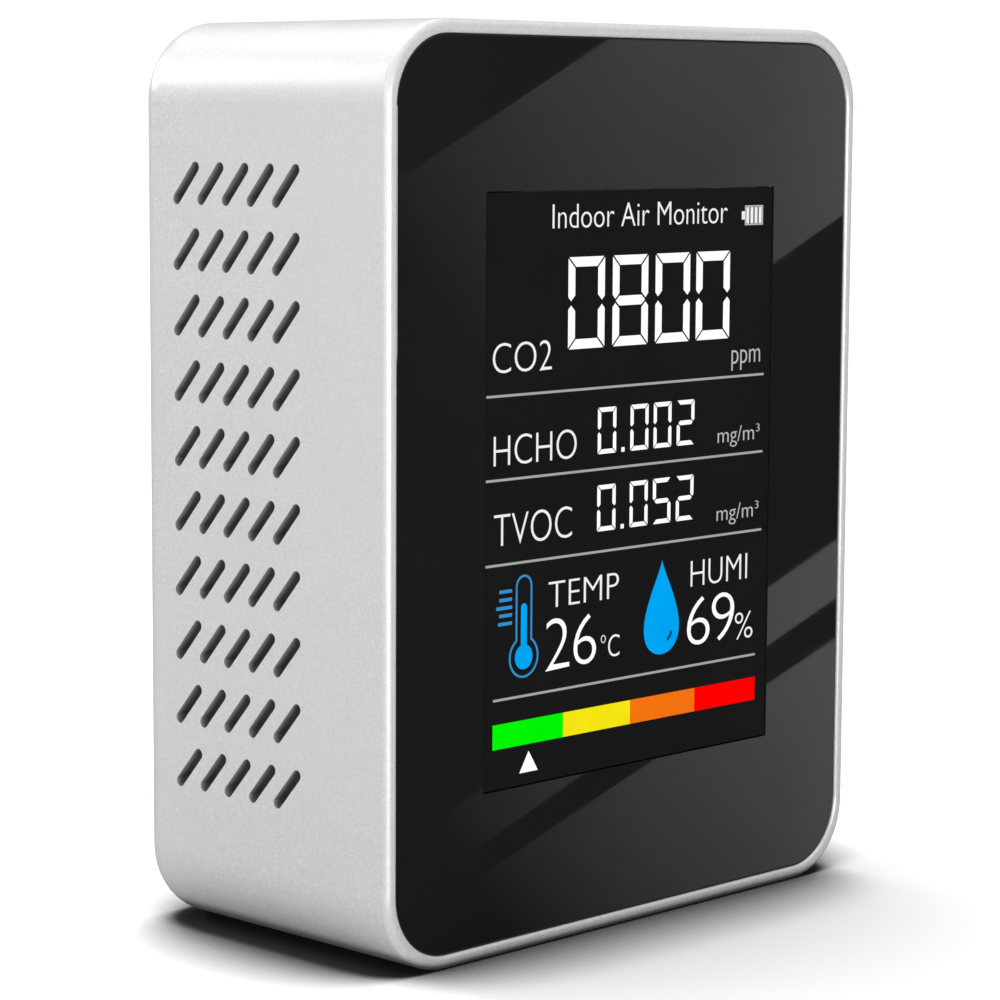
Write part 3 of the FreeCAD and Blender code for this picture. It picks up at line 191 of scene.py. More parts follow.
def make_drawn_metal():
    """Drawing and rolling lines on metal: a height, a roughness and a tint mask."""
    inputs = [("Scale", FLOAT, 800.0), ("Roughness", FLOAT, 0.3), ("Spread", FLOAT, 0.2)]
    outputs = [("Height", FLOAT), ("Roughness", FLOAT), ("Mask", FLOAT)]
    tree, given, result = shader_group("drawn_metal", inputs, outputs)
    place = add(tree, "ShaderNodeTexCoord").outputs["Object"]
    long_way = add(tree, "ShaderNodeMapping", {"Vector": place, "Scale": (0.06, 1.0, 1.0)}).outputs[0]
    lines = noise(tree, given["Scale"], 4.0, 0.7, long_way)
    stains = noise(tree, maths(tree, "MULTIPLY", given["Scale"], 0.15), 3.0)
    wander = maths(tree, "SUBTRACT", maths(tree, "ADD", lines, stains), 1.0)
    tree.links.new(lines, result["Height"])
    roughness = maths(tree, "MULTIPLY_ADD", wander, given["Spread"], given["Roughness"])
    tree.links.new(roughness, result["Roughness"])
    tree.links.new(stains, result["Mask"])
    return tree


def make_cells():
    """Pores, fibres or crinkles: the height and mask of a cell pattern."""
    inputs = [("Scale", FLOAT, 2500.0), ("Sharpness", FLOAT, 0.5)]
    tree, given, result = shader_group("cells", inputs, [("Height", FLOAT), ("Mask", FLOAT)])
    bend = noise(tree, maths(tree, "MULTIPLY", given["Scale"], 0.3), 2.0)
    place = add(tree, "ShaderNodeTexCoord").outputs["Object"]
    shift = maths(tree, "DIVIDE", bend, given["Scale"])
    moved = add(tree, "ShaderNodeVectorMath", {0: place, 1: shift}, operation="ADD").outputs[0]
    inputs = {"Vector": moved, "Scale": given["Scale"]}
    edges = add(tree, "ShaderNodeTexVoronoi", inputs, feature="DISTANCE_TO_EDGE").outputs["Distance"]
    height = maths(tree, "POWER", spread(tree, edges, 0.0, 0.35), given["Sharpness"])
    tree.links.new(height, result["Height"])
    tree.links.new(maths(tree, "SUBTRACT", 1.0, height), result["Mask"])
    return tree


def make_tracks():
    """Copper tracks under solder mask: the mask and height of a run of straight lines."""
    inputs = [("Scale", FLOAT, 420.0), ("Width", FLOAT, 0.12)]
    tree, given, result = shader_group("copper_tracks", inputs, [("Mask", FLOAT), ("Height", FLOAT)])
    place = add(tree, "ShaderNodeTexCoord").outputs["Object"]
    inputs = {"Vector": place, "Scale": given["Scale"], "Randomness": 0.85}
    blocks = add(tree, "ShaderNodeTexVoronoi", inputs, distance="CHEBYCHEV", feature="F1")
    ring = add(tree, "ShaderNodeMath", {0: maths(tree, "MULTIPLY", blocks.outputs["Distance"], 4.0)},
               operation="FRACT").outputs[0]
    mask = maths(tree, "LESS_THAN", ring, given["Width"])
    tree.links.new(mask, result["Mask"])
    tree.links.new(mask, result["Height"])
    return tree


def make_recess_shade():
    """A mask that is 1 deep inside a slot, a seam or a recess, where painted shade goes."""
    inputs = [("Reach", FLOAT, 0.003)]
    tree, given, result = shader_group("recess_shade", inputs, [("Mask", FLOAT)])
    reach = add(tree, "ShaderNodeAmbientOcclusion", {"Distance": given["Reach"]}, samples=8).outputs["AO"]
    tree.links.new(spread(tree, reach, 0.8, 0.3), result["Mask"])
    return tree


GRAIN = make_moulded_grain()
RECESS = make_recess_shade()
FLAKES = make_flakes()
EDGE_WEAR = make_edge_wear()
SMEARS = make_smears()
DRAWN_METAL = make_drawn_metal()
CELLS = make_cells()
TRACKS = make_tracks()


# ---- finishes -------------------------------------------------------------------------------

def new_finish(name, **constants):
    """A material, its tree and its Principled shader with plain constants on its own sockets."""
    material = bpy.data.materials.new(name)
    material.use_nodes = True
    shader = material.node_tree.nodes["Principled BSDF"]
    for label, value in constants.items():
        shader.inputs[label.replace("_", " ")].default_value = value
    return material, material.node_tree, shader


def feed(tree, shader, colour=None, roughness=None, height=None, depth=0.0):
    """Links what varies over the surface to the shader. depth is the bump's depth in metres."""
    if colour is not None:
        tree.links.new(colour, shader.inputs["Base Color"])
    if roughness is not None:
        tree.links.new(roughness, shader.inputs["Roughness"])
    if height is not None:
        bump = add(tree, "ShaderNodeBump", {"Height": height, "Distance": depth, "Strength": 1.0})
        tree.links.new(bump.outputs[0], shader.inputs["Normal"])


def opaque(colour):
    return (*colour, 1.0)


def shaded(colour, factor):
    """The colour, lighter or darker."""
    return tuple(min(1.0, part * factor) for part in colour)


def pearl_plastic(name, colour, roughness):
    """Moulded plastic with pearl pigment, a satin grain, slightly rubbed edges and painted shade deep in
    slots and seams.
    """
    material, tree, shader = new_finish(name, Specular_IOR_Level=0.5, Metallic=0.35)
    flakes = place_group(tree, FLAKES, Colour=colour, Flake=shaded(colour, 1.5), Scale=5000.0, Amount=0.33)
    cloud = spread(tree, noise(tree, 45.0, 3.0), 0.3, 0.7)
    clouded = blend_colours(tree, cloud, flakes["Colour"], opaque(shaded(colour, 1.05)))
    clouded_part = blend_colours(tree, 0.6, flakes["Colour"], clouded)
    wear = place_group(tree, EDGE_WEAR, Radius=0.0003, Scale=700.0, Amount=0.25)
    worn = blend_colours(tree, wear["Mask"], clouded_part, opaque(shaded(colour, 1.2)))
    # Painted shade: the colour goes much darker deep in slots, seams and recesses.
    recess = place_group(tree, RECESS, Reach=0.003)
    recess_painted_shade = blend_colours(tree, recess["Mask"], worn, opaque(shaded(colour, 0.12)))
    grain = place_group(tree, GRAIN, Scale=5200.0, Roughness=roughness, Spread=0.1)
    feed(tree, shader, recess_painted_shade, grain["Roughness"], grain["Height"], 0.00002)
    return material


def make_casing():
    return pearl_plastic("casing_pearl", (0.6, 0.585, 0.587), 0.36)


def make_button():
    return pearl_plastic("button_pearl", (0.55, 0.545, 0.53), 0.33)


def make_panel():
    """Black gloss panel: deep black, very slightly rippled, with faint wipe marks."""
    material, tree, shader = new_finish("panel_black_gloss", IOR=1.5)
    tint = spread(tree, noise(tree, 30.0, 2.0), 0.3, 0.7)
    colour = blend_colours(tree, tint, (0.0082, 0.0082, 0.0085, 1), (0.0094, 0.0094, 0.0096, 1))
    wear = place_group(tree, EDGE_WEAR, Radius=0.00015, Scale=1500.0, Amount=0.3)
    worn = blend_colours(tree, wear["Mask"], colour, (0.05, 0.05, 0.05, 1))
    smears = place_group(tree, SMEARS, Roughness=0.015, Smear=0.02, Scale=60.0)
    feed(tree, shader, worn, smears["Roughness"], smears["Height"], 0.0000004)
    return material


def make_polarizer():
    """Anti-glare film over the display: matt and almost without gloss."""
    material, tree, shader = new_finish("display_film", Specular_IOR_Level=0.04)
    tint = spread(tree, noise(tree, 90.0, 2.0), 0.3, 0.7)
    colour = blend_colours(tree, tint, (0.0061, 0.0061, 0.0064, 1), (0.0069, 0.0069, 0.0071, 1))
    grain = place_group(tree, GRAIN, Scale=9000.0, Roughness=0.35, Spread=0.1)
    feed(tree, shader, colour, grain["Roughness"], grain["Height"], 0.000002)
    return material


def moulded(name, colour, roughness, scale=3000.0, depth=0.00001):
    """Plain moulded plastic or rubber: a mottled colour and a fine grain."""
    material, tree, shader = new_finish(name)
    mottle = spread(tree, noise(tree, scale * 0.08, 3.0), 0.3, 0.7)
    mottled = blend_colours(tree, mottle, opaque(shaded(colour, 0.9)), opaque(shaded(colour, 1.08)))
    wear = place_group(tree, EDGE_WEAR, Radius=0.00015, Scale=2000.0, Amount=0.3)
    worn = blend_colours(tree, wear["Mask"], mottled, opaque(shaded(colour, 1.35)))
    grain = place_group(tree, GRAIN, Scale=scale, Roughness=roughness, Spread=0.1)
    feed(tree, shader, worn, grain["Roughness"], grain["Height"], depth)
    return material


def make_tape():
    """Closed-cell foam tape."""
    material, tree, shader = new_finish("foam_tape")
    cells = place_group(tree, CELLS, Scale=3500.0, Sharpness=0.5)
    colour = blend_colours(tree, cells["Mask"], (0.05, 0.05, 0.05, 1), (0.02, 0.02, 0.02, 1))
    roughness = spread(tree, cells["Mask"], 0.0, 1.0, 0.75, 0.95)
    feed(tree, shader, colour, roughness, cells["Height"], 0.00005)
    return material


def metal(name, colour, roughness, scale=900.0, depth=0.000004, dull=0.75):
    """Bare or plated metal with drawing lines, faint stains and bright edges."""
    material, tree, shader = new_finish(name, Metallic=1.0)
    drawn = place_group(tree, DRAWN_METAL, Scale=scale, Roughness=roughness, Spread=0.25)
    stained = blend_colours(tree, drawn["Mask"], opaque(colour), opaque(shaded(colour, dull)))
    wear = place_group(tree, EDGE_WEAR, Radius=0.0002, Scale=1800.0, Amount=0.6)
    worn = blend_colours(tree, wear["Mask"], stained, opaque(shaded(colour, 1.3)))
    feed(tree, shader, worn, drawn["Roughness"], drawn["Height"], depth)
    return material


def make_glass():
    """Display glass: clear with a slight green tint and faint rubbing marks."""
    material, tree, shader = new_finish("display_glass", Transmission_Weight=1.0, IOR=1.52)
    tint = spread(tree, noise(tree, 120.0, 2.0), 0.3, 0.7)
    colour = blend_colours(tree, tint, (0.86, 0.93, 0.91, 1), (0.92, 0.97, 0.95, 1))
    smears = place_group(tree, SMEARS, Roughness=0.02, Smear=0.05, Scale=90.0)
    feed(tree, shader, colour, smears["Roughness"], smears["Height"], 0.0000005)
    return material


def make_light_guide():
    """Clear acrylic with a field of small printed dots that scatter the light."""
    material, tree, shader = new_finish("light_guide", Transmission_Weight=0.7, IOR=1.49)
    cells = place_group(tree, CELLS, Scale=1400.0, Sharpness=0.3)
    colour = blend_colours(tree, cells["Mask"], (0.9, 0.93, 0.95, 1), (0.99, 0.99, 0.99, 1))
    roughness = spread(tree, cells["Mask"], 0.0, 1.0, 0.06, 0.5)
    feed(tree, shader, colour, roughness, cells["Height"], 0.00001)
    return material


def make_circuit_board():
    """Green solder mask with copper tracks showing through it."""
    material, tree, shader = new_finish("circuit_board", Coat_Weight=0.25, Coat_Roughness=0.2)
    tracks = place_group(tree, TRACKS, Scale=260.0, Width=0.14)
    fibre = noise(tree, 5000.0, 2.0)
    mask = blend_colours(tree, fibre, (0.012, 0.13, 0.06, 1), (0.02, 0.17, 0.085, 1))
    colour = blend_colours(tree, tracks["Mask"], mask, (0.05, 0.3, 0.14, 1))
    grain = place_group(tree, GRAIN, Scale=3500.0, Roughness=0.35, Spread=0.15)
    feed(tree, shader, colour, grain["Roughness"], tracks["Height"], 0.000035)
    return material


def make_membrane():
    """White filter sheet of felted fibres."""
    material, tree, shader = new_finish("filter_membrane", Sheen_Weight=0.2)
    cells = place_group(tree, CELLS, Scale=3000.0, Sharpness=0.8)
    colour = blend_colours(tree, cells["Mask"], (0.9, 0.9, 0.88, 1), (0.7, 0.7, 0.67, 1))
    roughness = spread(tree, cells["Mask"], 0.0, 1.0, 0.8, 0.98)
    feed(tree, shader, colour, roughness, cells["Height"], 0.00003)
    return material


def make_cell_foil():
    """Laminated aluminium pouch, softly crinkled."""
    material, tree, shader = new_finish("pouch_foil", Metallic=1.0)
    crinkle = noise(tree, 160.0, 4.0, 0.6)
    drawn = place_group(tree, DRAWN_METAL, Scale=500.0, Roughness=0.35, Spread=0.2)
    colour = blend_colours(tree, crinkle, (0.62, 0.63, 0.65, 1), (0.78, 0.79, 0.8, 1))
    feed(tree, shader, colour, drawn["Roughness"], crinkle, 0.00025)
    return material


def ceramic(name, colour, roughness):
    """Fired ceramic chip body with tinned ends shown as lighter specks."""
    material, tree, shader = new_finish(name)
    flakes = place_group(tree, FLAKES, Colour=colour, Flake=shaded(colour, 1.8), Scale=7000.0, Amount=0.35)
    grain = place_group(tree, GRAIN, Scale=6000.0, Roughness=roughness, Spread=0.15)
    feed(tree, shader, flakes["Colour"], grain["Roughness"], grain["Height"], 0.00001)
    return material


def make_finishes():
    """One material for each material slot of the record."""
    return {
        "casing": make_casing(),
        "panel": make_panel(),
        "tape": make_tape(),
        "screw": metal("screw_steel", (0.42, 0.42, 0.43), 0.35),
        "button": make_button(),
        "polarizer": make_polarizer(),
        "glass": make_glass(),
        "light_guide": make_light_guide(),
        "reflector": moulded("reflector_film", (0.9, 0.9, 0.9), 0.5, 1500.0, 0.000004),
        "white_plastic": moulded("white_plastic", (0.82, 0.81, 0.77), 0.45),
        "lamp": moulded("lamp_phosphor", (0.85, 0.62, 0.2), 0.3, 6000.0, 0.00001),
        "contact": metal("contact_gold", (0.83, 0.66, 0.32), 0.25),
        "circuit_board": make_circuit_board(),
        "chip": moulded("chip_epoxy", (0.035, 0.035, 0.038), 0.5, 7000.0, 0.00001),
        "capacitor": ceramic("capacitor_ceramic", (0.45, 0.33, 0.22), 0.45),
        "resistor": ceramic("resistor_ceramic", (0.05, 0.05, 0.055), 0.4),
        "can": metal("drawn_can", (0.68, 0.68, 0.69), 0.3),
        "gilded_case": metal("gilded_case", (0.85, 0.66, 0.3), 0.28, 500.0, 0.000006, 0.85),
        "membrane": make_membrane(),
        "cell_foil": make_cell_foil(),
        "lead_red": moulded("lead_red", (0.5, 0.025, 0.02), 0.45, 4000.0, 0.000008),
        "lead_black": moulded("lead_black", (0.025, 0.025, 0.025), 0.45, 4000.0, 0.000008),
        "wire_white": moulded("wire_white", (0.8, 0.8, 0.77), 0.45, 4000.0, 0.000008),
    }


def lit(name, colour):
    """A lit display colour: a glow that is a little uneven, as behind a diffuser, over a dark print."""
    material, tree, shader = new_finish(name, Roughness=0.5, Specular_IOR_Level=0.0, Emission_Strength=0.95)
    uneven = spread(tree, noise(tree, 220.0, 2.0), 0.3, 0.7)
    glow = blend_colours(tree, uneven, opaque(shaded(colour, 0.94)), opaque(colour))
    ink = blend_colours(tree, uneven, opaque(shaded(colour, 0.08)), opaque(shaded(colour, 0.1)))
    tree.links.new(ink, shader.inputs["Base Color"])
    tree.links.new(glow, shader.inputs["Emission Color"])
    return material


def paint_frame(finishes):
    """Gives every CAD piece the finish of its slot."""
    for entry in frame["record"]["subparts"]:
        piece = frame["nodes"][entry["node"]]
        piece.data.materials.clear()
        piece.data.materials.append(finishes[entry["material_slot"]])


# ---- pieces on the display ------------------------------------------------------------------

def new_piece(name, mesh, material, body):
    """A finished piece that rides on a body. Its place is in its mesh."""
    mesh.name = name
    mesh.materials.clear()
    mesh.materials.append(material)
    piece = bpy.data.objects.new(name, mesh)
    bpy.context.scene.collection.objects.link(piece)
    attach(piece, body)
    return piece


def closed_mesh(shape):
    """A mesh from a bmesh, welded and with its faces outwards."""
    bmesh.ops.remove_doubles(shape, verts=shape.verts, dist=WELD_DISTANCE)
    bmesh.ops.recalc_face_normals(shape, faces=shape.faces)
    mesh = bpy.data.meshes.new("piece")
    shape.to_mesh(mesh)
    shape.free()
    return mesh


def on_display(x, z, depth):
    """The point at x, z on the display's film, depth metres in front of it."""
    return Vector((DISPLAY_MIDDLE.x + x * MM, FILM_FACE - depth, DISPLAY_MIDDLE.z + z * MM))


def on_button(x, z, depth):
    """The point at x, z on the button's face as seen from behind, depth metres proud of it."""
    return Vector((BUTTON_MIDDLE.x - x * MM, BUTTON_FACE + depth, BUTTON_MIDDLE.z + z * MM))


def raise_outline(shape, outline, place, depth):
    """A thin closed prism on a face, from its outline."""
    low = [shape.verts.new(place(x, z, 0.0)) for x, z in outline]
    high = [shape.verts.new(place(x, z, depth)) for x, z in outline]
    shape.faces.new(high)
    shape.faces.new(reversed(low))
    for step in range(len(outline)):
        after = (step + 1) % len(outline)
        shape.faces.new((low[step], low[after], high[after], high[step]))


def raise_band(shape, outer, inner, place, depth, closed=True):
    """A thin closed band between two outlines that have the same number of points."""
    rings = [
        [shape.verts.new(place(x, z, rise)) for x, z in outline]
        for outline, rise in ((outer, 0.0), (outer, depth), (inner, depth), (inner, 0.0))
    ]
    count = len(outer)
    for step in range(count if closed else count - 1):
        after = (step + 1) % count
        for first, second in zip(rings, rings[1:] + rings[:1]):
            shape.faces.new((first[step], first[after], second[after], second[step]))
    if not closed:
        shape.faces.new([ring[0] for ring in rings])
        shape.faces.new([ring[-1] for ring in reversed(rings)])


def outline_piece(name, outlines, material):
    """A display piece made of one or more outlines."""
    shape = bmesh.new()
    for outline in outlines:
        raise_outline(shape, outline, on_display, PRINT_DEPTH)
    return new_piece(name, closed_mesh(shape), material, "housing")


def arc(middle_x, middle_z, radius, start, end, steps=24):
    """Points on an arc, its angles in degrees from +x towards +z."""
    points = []
    for step in range(steps + 1):
        angle = math.radians(start + (end - start) * step / steps)
        points.append((middle_x + radius * math.cos(angle), middle_z + radius * math.sin(angle)))
    return points


# ---- digits of seven bars -------------------------------------------------------------------

LIT_BARS = {
    "0": "top top_left top_right low_left low_right bottom",
    "2": "top top_right middle low_left bottom",
    "5": "top top_left middle low_right bottom",
    "8": "top top_left top_right middle low_left low_right bottom",
}
BAR_GAP = 0.09


def corner_bars(width, half_height, stroke):
    """The top bar and the upper left bar of a digit, counted from its middle."""
    gap = BAR_GAP if stroke < 1 else 1.6 * BAR_GAP
    left = -width / 2
    top = [
        (left + gap, half_height),
        (left + gap + stroke, half_height - stroke),
        (-left - gap - stroke, half_height - stroke),
        (-left - gap, half_height),
    ]
    upper_left = [
        (left, half_height - gap),
        (left, gap + 0.5 * stroke),
        (left + 0.4 * stroke, 1.6 * gap),
        (left + stroke, gap + 0.65 * stroke),
        (left + stroke, half_height - gap - stroke),
    ]
    return top, upper_left


def middle_bar(width, stroke):
    """The pointed bar across a digit's middle."""
    end = width / 2 - 0.4 * stroke - BAR_GAP
    shoulder = end - 0.55 * stroke
    half = 0.5 * stroke
    return [(-end, 0), (-shoulder, -half), (shoulder, -half), (end, 0), (shoulder, half), (-shoulder, half)]


def digit_bars(digit, left, bottom, width, height, stroke):
    """The outlines of a digit's lit bars, placed."""
    top, upper_left = corner_bars(width, height / 2, stroke)
    bars = {
        "top": top,
        "bottom": [(-x, -z) for x, z in top],
        "top_left": upper_left,
        "low_right": [(-x, -z) for x, z in upper_left],
        "top_right": [(-x, z) for x, z in reversed(upper_left)],
        "low_left": [(x, -z) for x, z in reversed(upper_left)],
        "middle": middle_bar(width, stroke),
    }
    middle_x, middle_z = left + width / 2, bottom + height / 2
    return [[(middle_x + x, middle_z + z) for x, z in bars[name]] for name in LIT_BARS[digit].split()]


def number_piece(name, digits, lefts, bottom, width, height, stroke, material, point=None):
    """A number of seven-bar digits, with a decimal point where one is given."""
    outlines = []
    for digit, left in zip(digits, lefts):
        outlines += digit_bars(digit, left, bottom, width, height, stroke)
    if point is not None:
        outlines.append([(point, bottom), (point + stroke, bottom), (point + stroke, bottom + stroke),
                         (point, bottom + stroke)])
    return outline_piece(name, outlines, material)


# ---- lettering ------------------------------------------------------------------------------

# How much thinner than the face's own strokes each kind of lettering is, in parts of the face's size.
LABEL_THINNER = 0.016
SMALL_THINNER = 0.012
UNIT_THINNER = 0.01
NUMBER_THINNER = 0.018


def lettering(name, words, x_range, z_range, material, thinner=LABEL_THINNER, spacing=1.0):
    """Words in the plain built-in face, fitted to a box on the display."""
    curve = bpy.data.curves.new(name, "FONT")
    curve.body = words
    curve.offset = -thinner
    curve.space_character = spacing
    curve.extrude = 0.5
    curve.resolution_u = 5
    holder = bpy.data.objects.new(name, curve)
    bpy.context.scene.collection.objects.link(holder)
    bpy.context.view_layer.update()
    mesh = bpy.data.meshes.new_from_object(holder.evaluated_get(bpy.context.evaluated_depsgraph_get()))
    bpy.data.objects.remove(holder)
    bpy.data.curves.remove(curve)
    across = [vertex.co.x for vertex in mesh.vertices]
    upward = [vertex.co.y for vertex in mesh.vertices]
    for vertex in mesh.vertices:
        along = (vertex.co.x - min(across)) / (max(across) - min(across))
        rise = (vertex.co.y - min(upward)) / (max(upward) - min(upward))
        x = x_range[0] + along * (x_range[1] - x_range[0])
        z = z_range[0] + rise * (z_range[1] - z_range[0])
        vertex.co = on_display(x, z, PRINT_DEPTH if vertex.co.z > 0 else 0.0)
    shape = bmesh.new()
    shape.from_mesh(mesh)
    bpy.data.meshes.remove(mesh)
    return new_piece(name, closed_mesh(shape), material, "housing")


# ---- blocks that repeat ---------------------------------------------------------------------

def make_block_tree():
    """Geometry nodes: a block on every point, as long as the point's stretch says."""
    tree = bpy.data.node_groups.new("blocks_on_points", "GeometryNodeTree")
    tree.interface.new_socket("Geometry", in_out="INPUT", socket_type="NodeSocketGeometry")
    tree.interface.new_socket("Block size", in_out="INPUT", socket_type=VECTOR)
    tree.interface.new_socket("Material", in_out="INPUT", socket_type="NodeSocketMaterial")
    tree.interface.new_socket("Geometry", in_out="OUTPUT", socket_type="NodeSocketGeometry")
    given = tree.nodes.new("NodeGroupInput").outputs
    result = tree.nodes.new("NodeGroupOutput").inputs
    block = add(tree, "GeometryNodeMeshCube", {"Size": given["Block size"]}).outputs["Mesh"]
    stretch = add(tree, "GeometryNodeInputNamedAttribute", {"Name": "stretch"}, data_type="FLOAT")
    scale = add(tree, "ShaderNodeCombineXYZ", {0: stretch.outputs["Attribute"], 1: 1.0, 2: 1.0}).outputs[0]
    inputs = {"Points": given["Geometry"], "Instance": block, "Scale": scale}
    blocks = add(tree, "GeometryNodeInstanceOnPoints", inputs).outputs[0]
    real = add(tree, "GeometryNodeRealizeInstances", {"Geometry": blocks}).outputs[0]
    inputs = {"Geometry": real, "Material": given["Material"]}
    painted = add(tree, "GeometryNodeSetMaterial", inputs).outputs[0]
    tree.links.new(painted, result["Geometry"])
    return tree


def socket_name(tree, label):
    """The identifier of a tree's input, by its label."""
    return next(item.identifier for item in tree.interface.items_tree
                if item.name == label and item.in_out == "INPUT")


def blocks_piece(name, tree, places, width, height, material):
    """Blocks of one size on the display; each place is x, z of its middle and its stretch along x."""
    points = bpy.data.meshes.new(name + "_points")
    points.from_pydata([on_display(x, z, PRINT_DEPTH / 2) for x, z, stretch in places], [], [])
    points.attributes.new("stretch", "FLOAT", "POINT").data.foreach_set("value", [p[2] for p in places])
    holder = bpy.data.objects.new(name, points)
    bpy.context.scene.collection.objects.link(holder)
    maker = holder.modifiers.new("blocks", "NODES")
    maker.node_group = tree
    maker[socket_name(tree, "Block size")] = (width * MM, PRINT_DEPTH, height * MM)
    maker[socket_name(tree, "Material")] = material
    bpy.context.view_layer.update()
    mesh = bpy.data.meshes.new_from_object(holder.evaluated_get(bpy.context.evaluated_depsgraph_get()))
    bpy.data.objects.remove(holder)
    bpy.data.meshes.remove(points)
    return new_piece(name, mesh, material, "housing")


# ---- symbols --------------------------------------------------------------------------------

def bulb_outline(half_width, bulb_radius, bulb_z, top, middle_x):
    """A thermometer's outline: a bulb below and a round-ended tube above."""
    turn = math.degrees(math.asin(half_width / bulb_radius))
    bulb = arc(middle_x, bulb_z, bulb_radius, 90 + turn, 450 - turn, 36)
    return bulb + arc(middle_x, top - half_width, half_width, 0, 180, 12)


def thermometer(outline_material, fill_material):
    """The thermometer symbol: a thin outline and the filled column in it."""
    middle_x, bulb_z = -16.62, -17.2
    tube_half_width, bulb_radius, tube_top = 1.22, 2.2, -8.6
    column_half_width, column_bulb_radius, column_top = 0.43, 1.3, -11.6
    line = 0.24
    shape = bmesh.new()
    outer = bulb_outline(tube_half_width, bulb_radius, bulb_z, tube_top, middle_x)
    inner = bulb_outline(tube_half_width - line, bulb_radius - line, bulb_z, tube_top - line, middle_x)
    raise_band(shape, outer, inner, on_display, PRINT_DEPTH)
    new_piece("thermometer_outline", closed_mesh(shape), outline_material, "housing")
    column = bulb_outline(column_half_width, column_bulb_radius, bulb_z, column_top, middle_x)
    outline_piece("thermometer_column", [column], fill_material)


def drop_outline(middle_x, bottom, tip, half_width, steps=48):
    """A falling drop: round below, drawn out to a tip above."""
    points = []
    height = tip - bottom
    tip_sharpness, widest = 1.55, 0.73
    for step in range(steps):
        angle = 2 * math.pi * step / steps
        lean = math.sin(angle) * math.sin(angle / 2) ** tip_sharpness / widest
        points.append((middle_x - half_width * lean, bottom + height * (1 + math.cos(angle)) / 2))
    return points


def drop(fill_material, dark_material):
    """The drop symbol with its small dark highlight stroke."""
    middle_x, bottom, tip, half_width = 4.83, -19.45, -9.2, 2.98
    stroke_x, stroke_z, stroke_start, stroke_end = middle_x + 0.25, -16.75, -62, -12
    stroke_outside, stroke_inside, stroke_steps = 1.55, 1.22, 10
    stroke_depth = 1.6 * PRINT_DEPTH
    outline_piece("humidity_drop", [drop_outline(middle_x, bottom, tip, half_width)], fill_material)
    shape = bmesh.new()
    outer = arc(stroke_x, stroke_z, stroke_outside, stroke_start, stroke_end, stroke_steps)
    inner = arc(stroke_x, stroke_z, stroke_inside, stroke_start, stroke_end, stroke_steps)
    raise_band(shape, outer, inner, on_display, stroke_depth, closed=False)
    new_piece("humidity_drop_stroke", closed_mesh(shape), dark_material, "housing")


def button_mark(material):
    """The plain power symbol on the button: an open ring and a bar."""
    ring_z, ring_outside, ring_inside = -0.1, 1.45, 1.2
    ring_start, ring_end, ring_steps = 125, 415, 40
    half, foot, top = 0.13, 0.15, 1.75
    shape = bmesh.new()
    outer = arc(0, ring_z, ring_outside, ring_start, ring_end, ring_steps)
    inner = arc(0, ring_z, ring_inside, ring_start, ring_end, ring_steps)
    raise_band(shape, outer, inner, on_button, MARK_DEPTH, closed=False)
    raise_outline(shape, [(-half, foot), (half, foot), (half, top), (-half, top)], on_button, MARK_DEPTH)
    new_piece("power_mark", closed_mesh(shape), material, "power_button")


# ---- the display's content ------------------------------------------------------------------

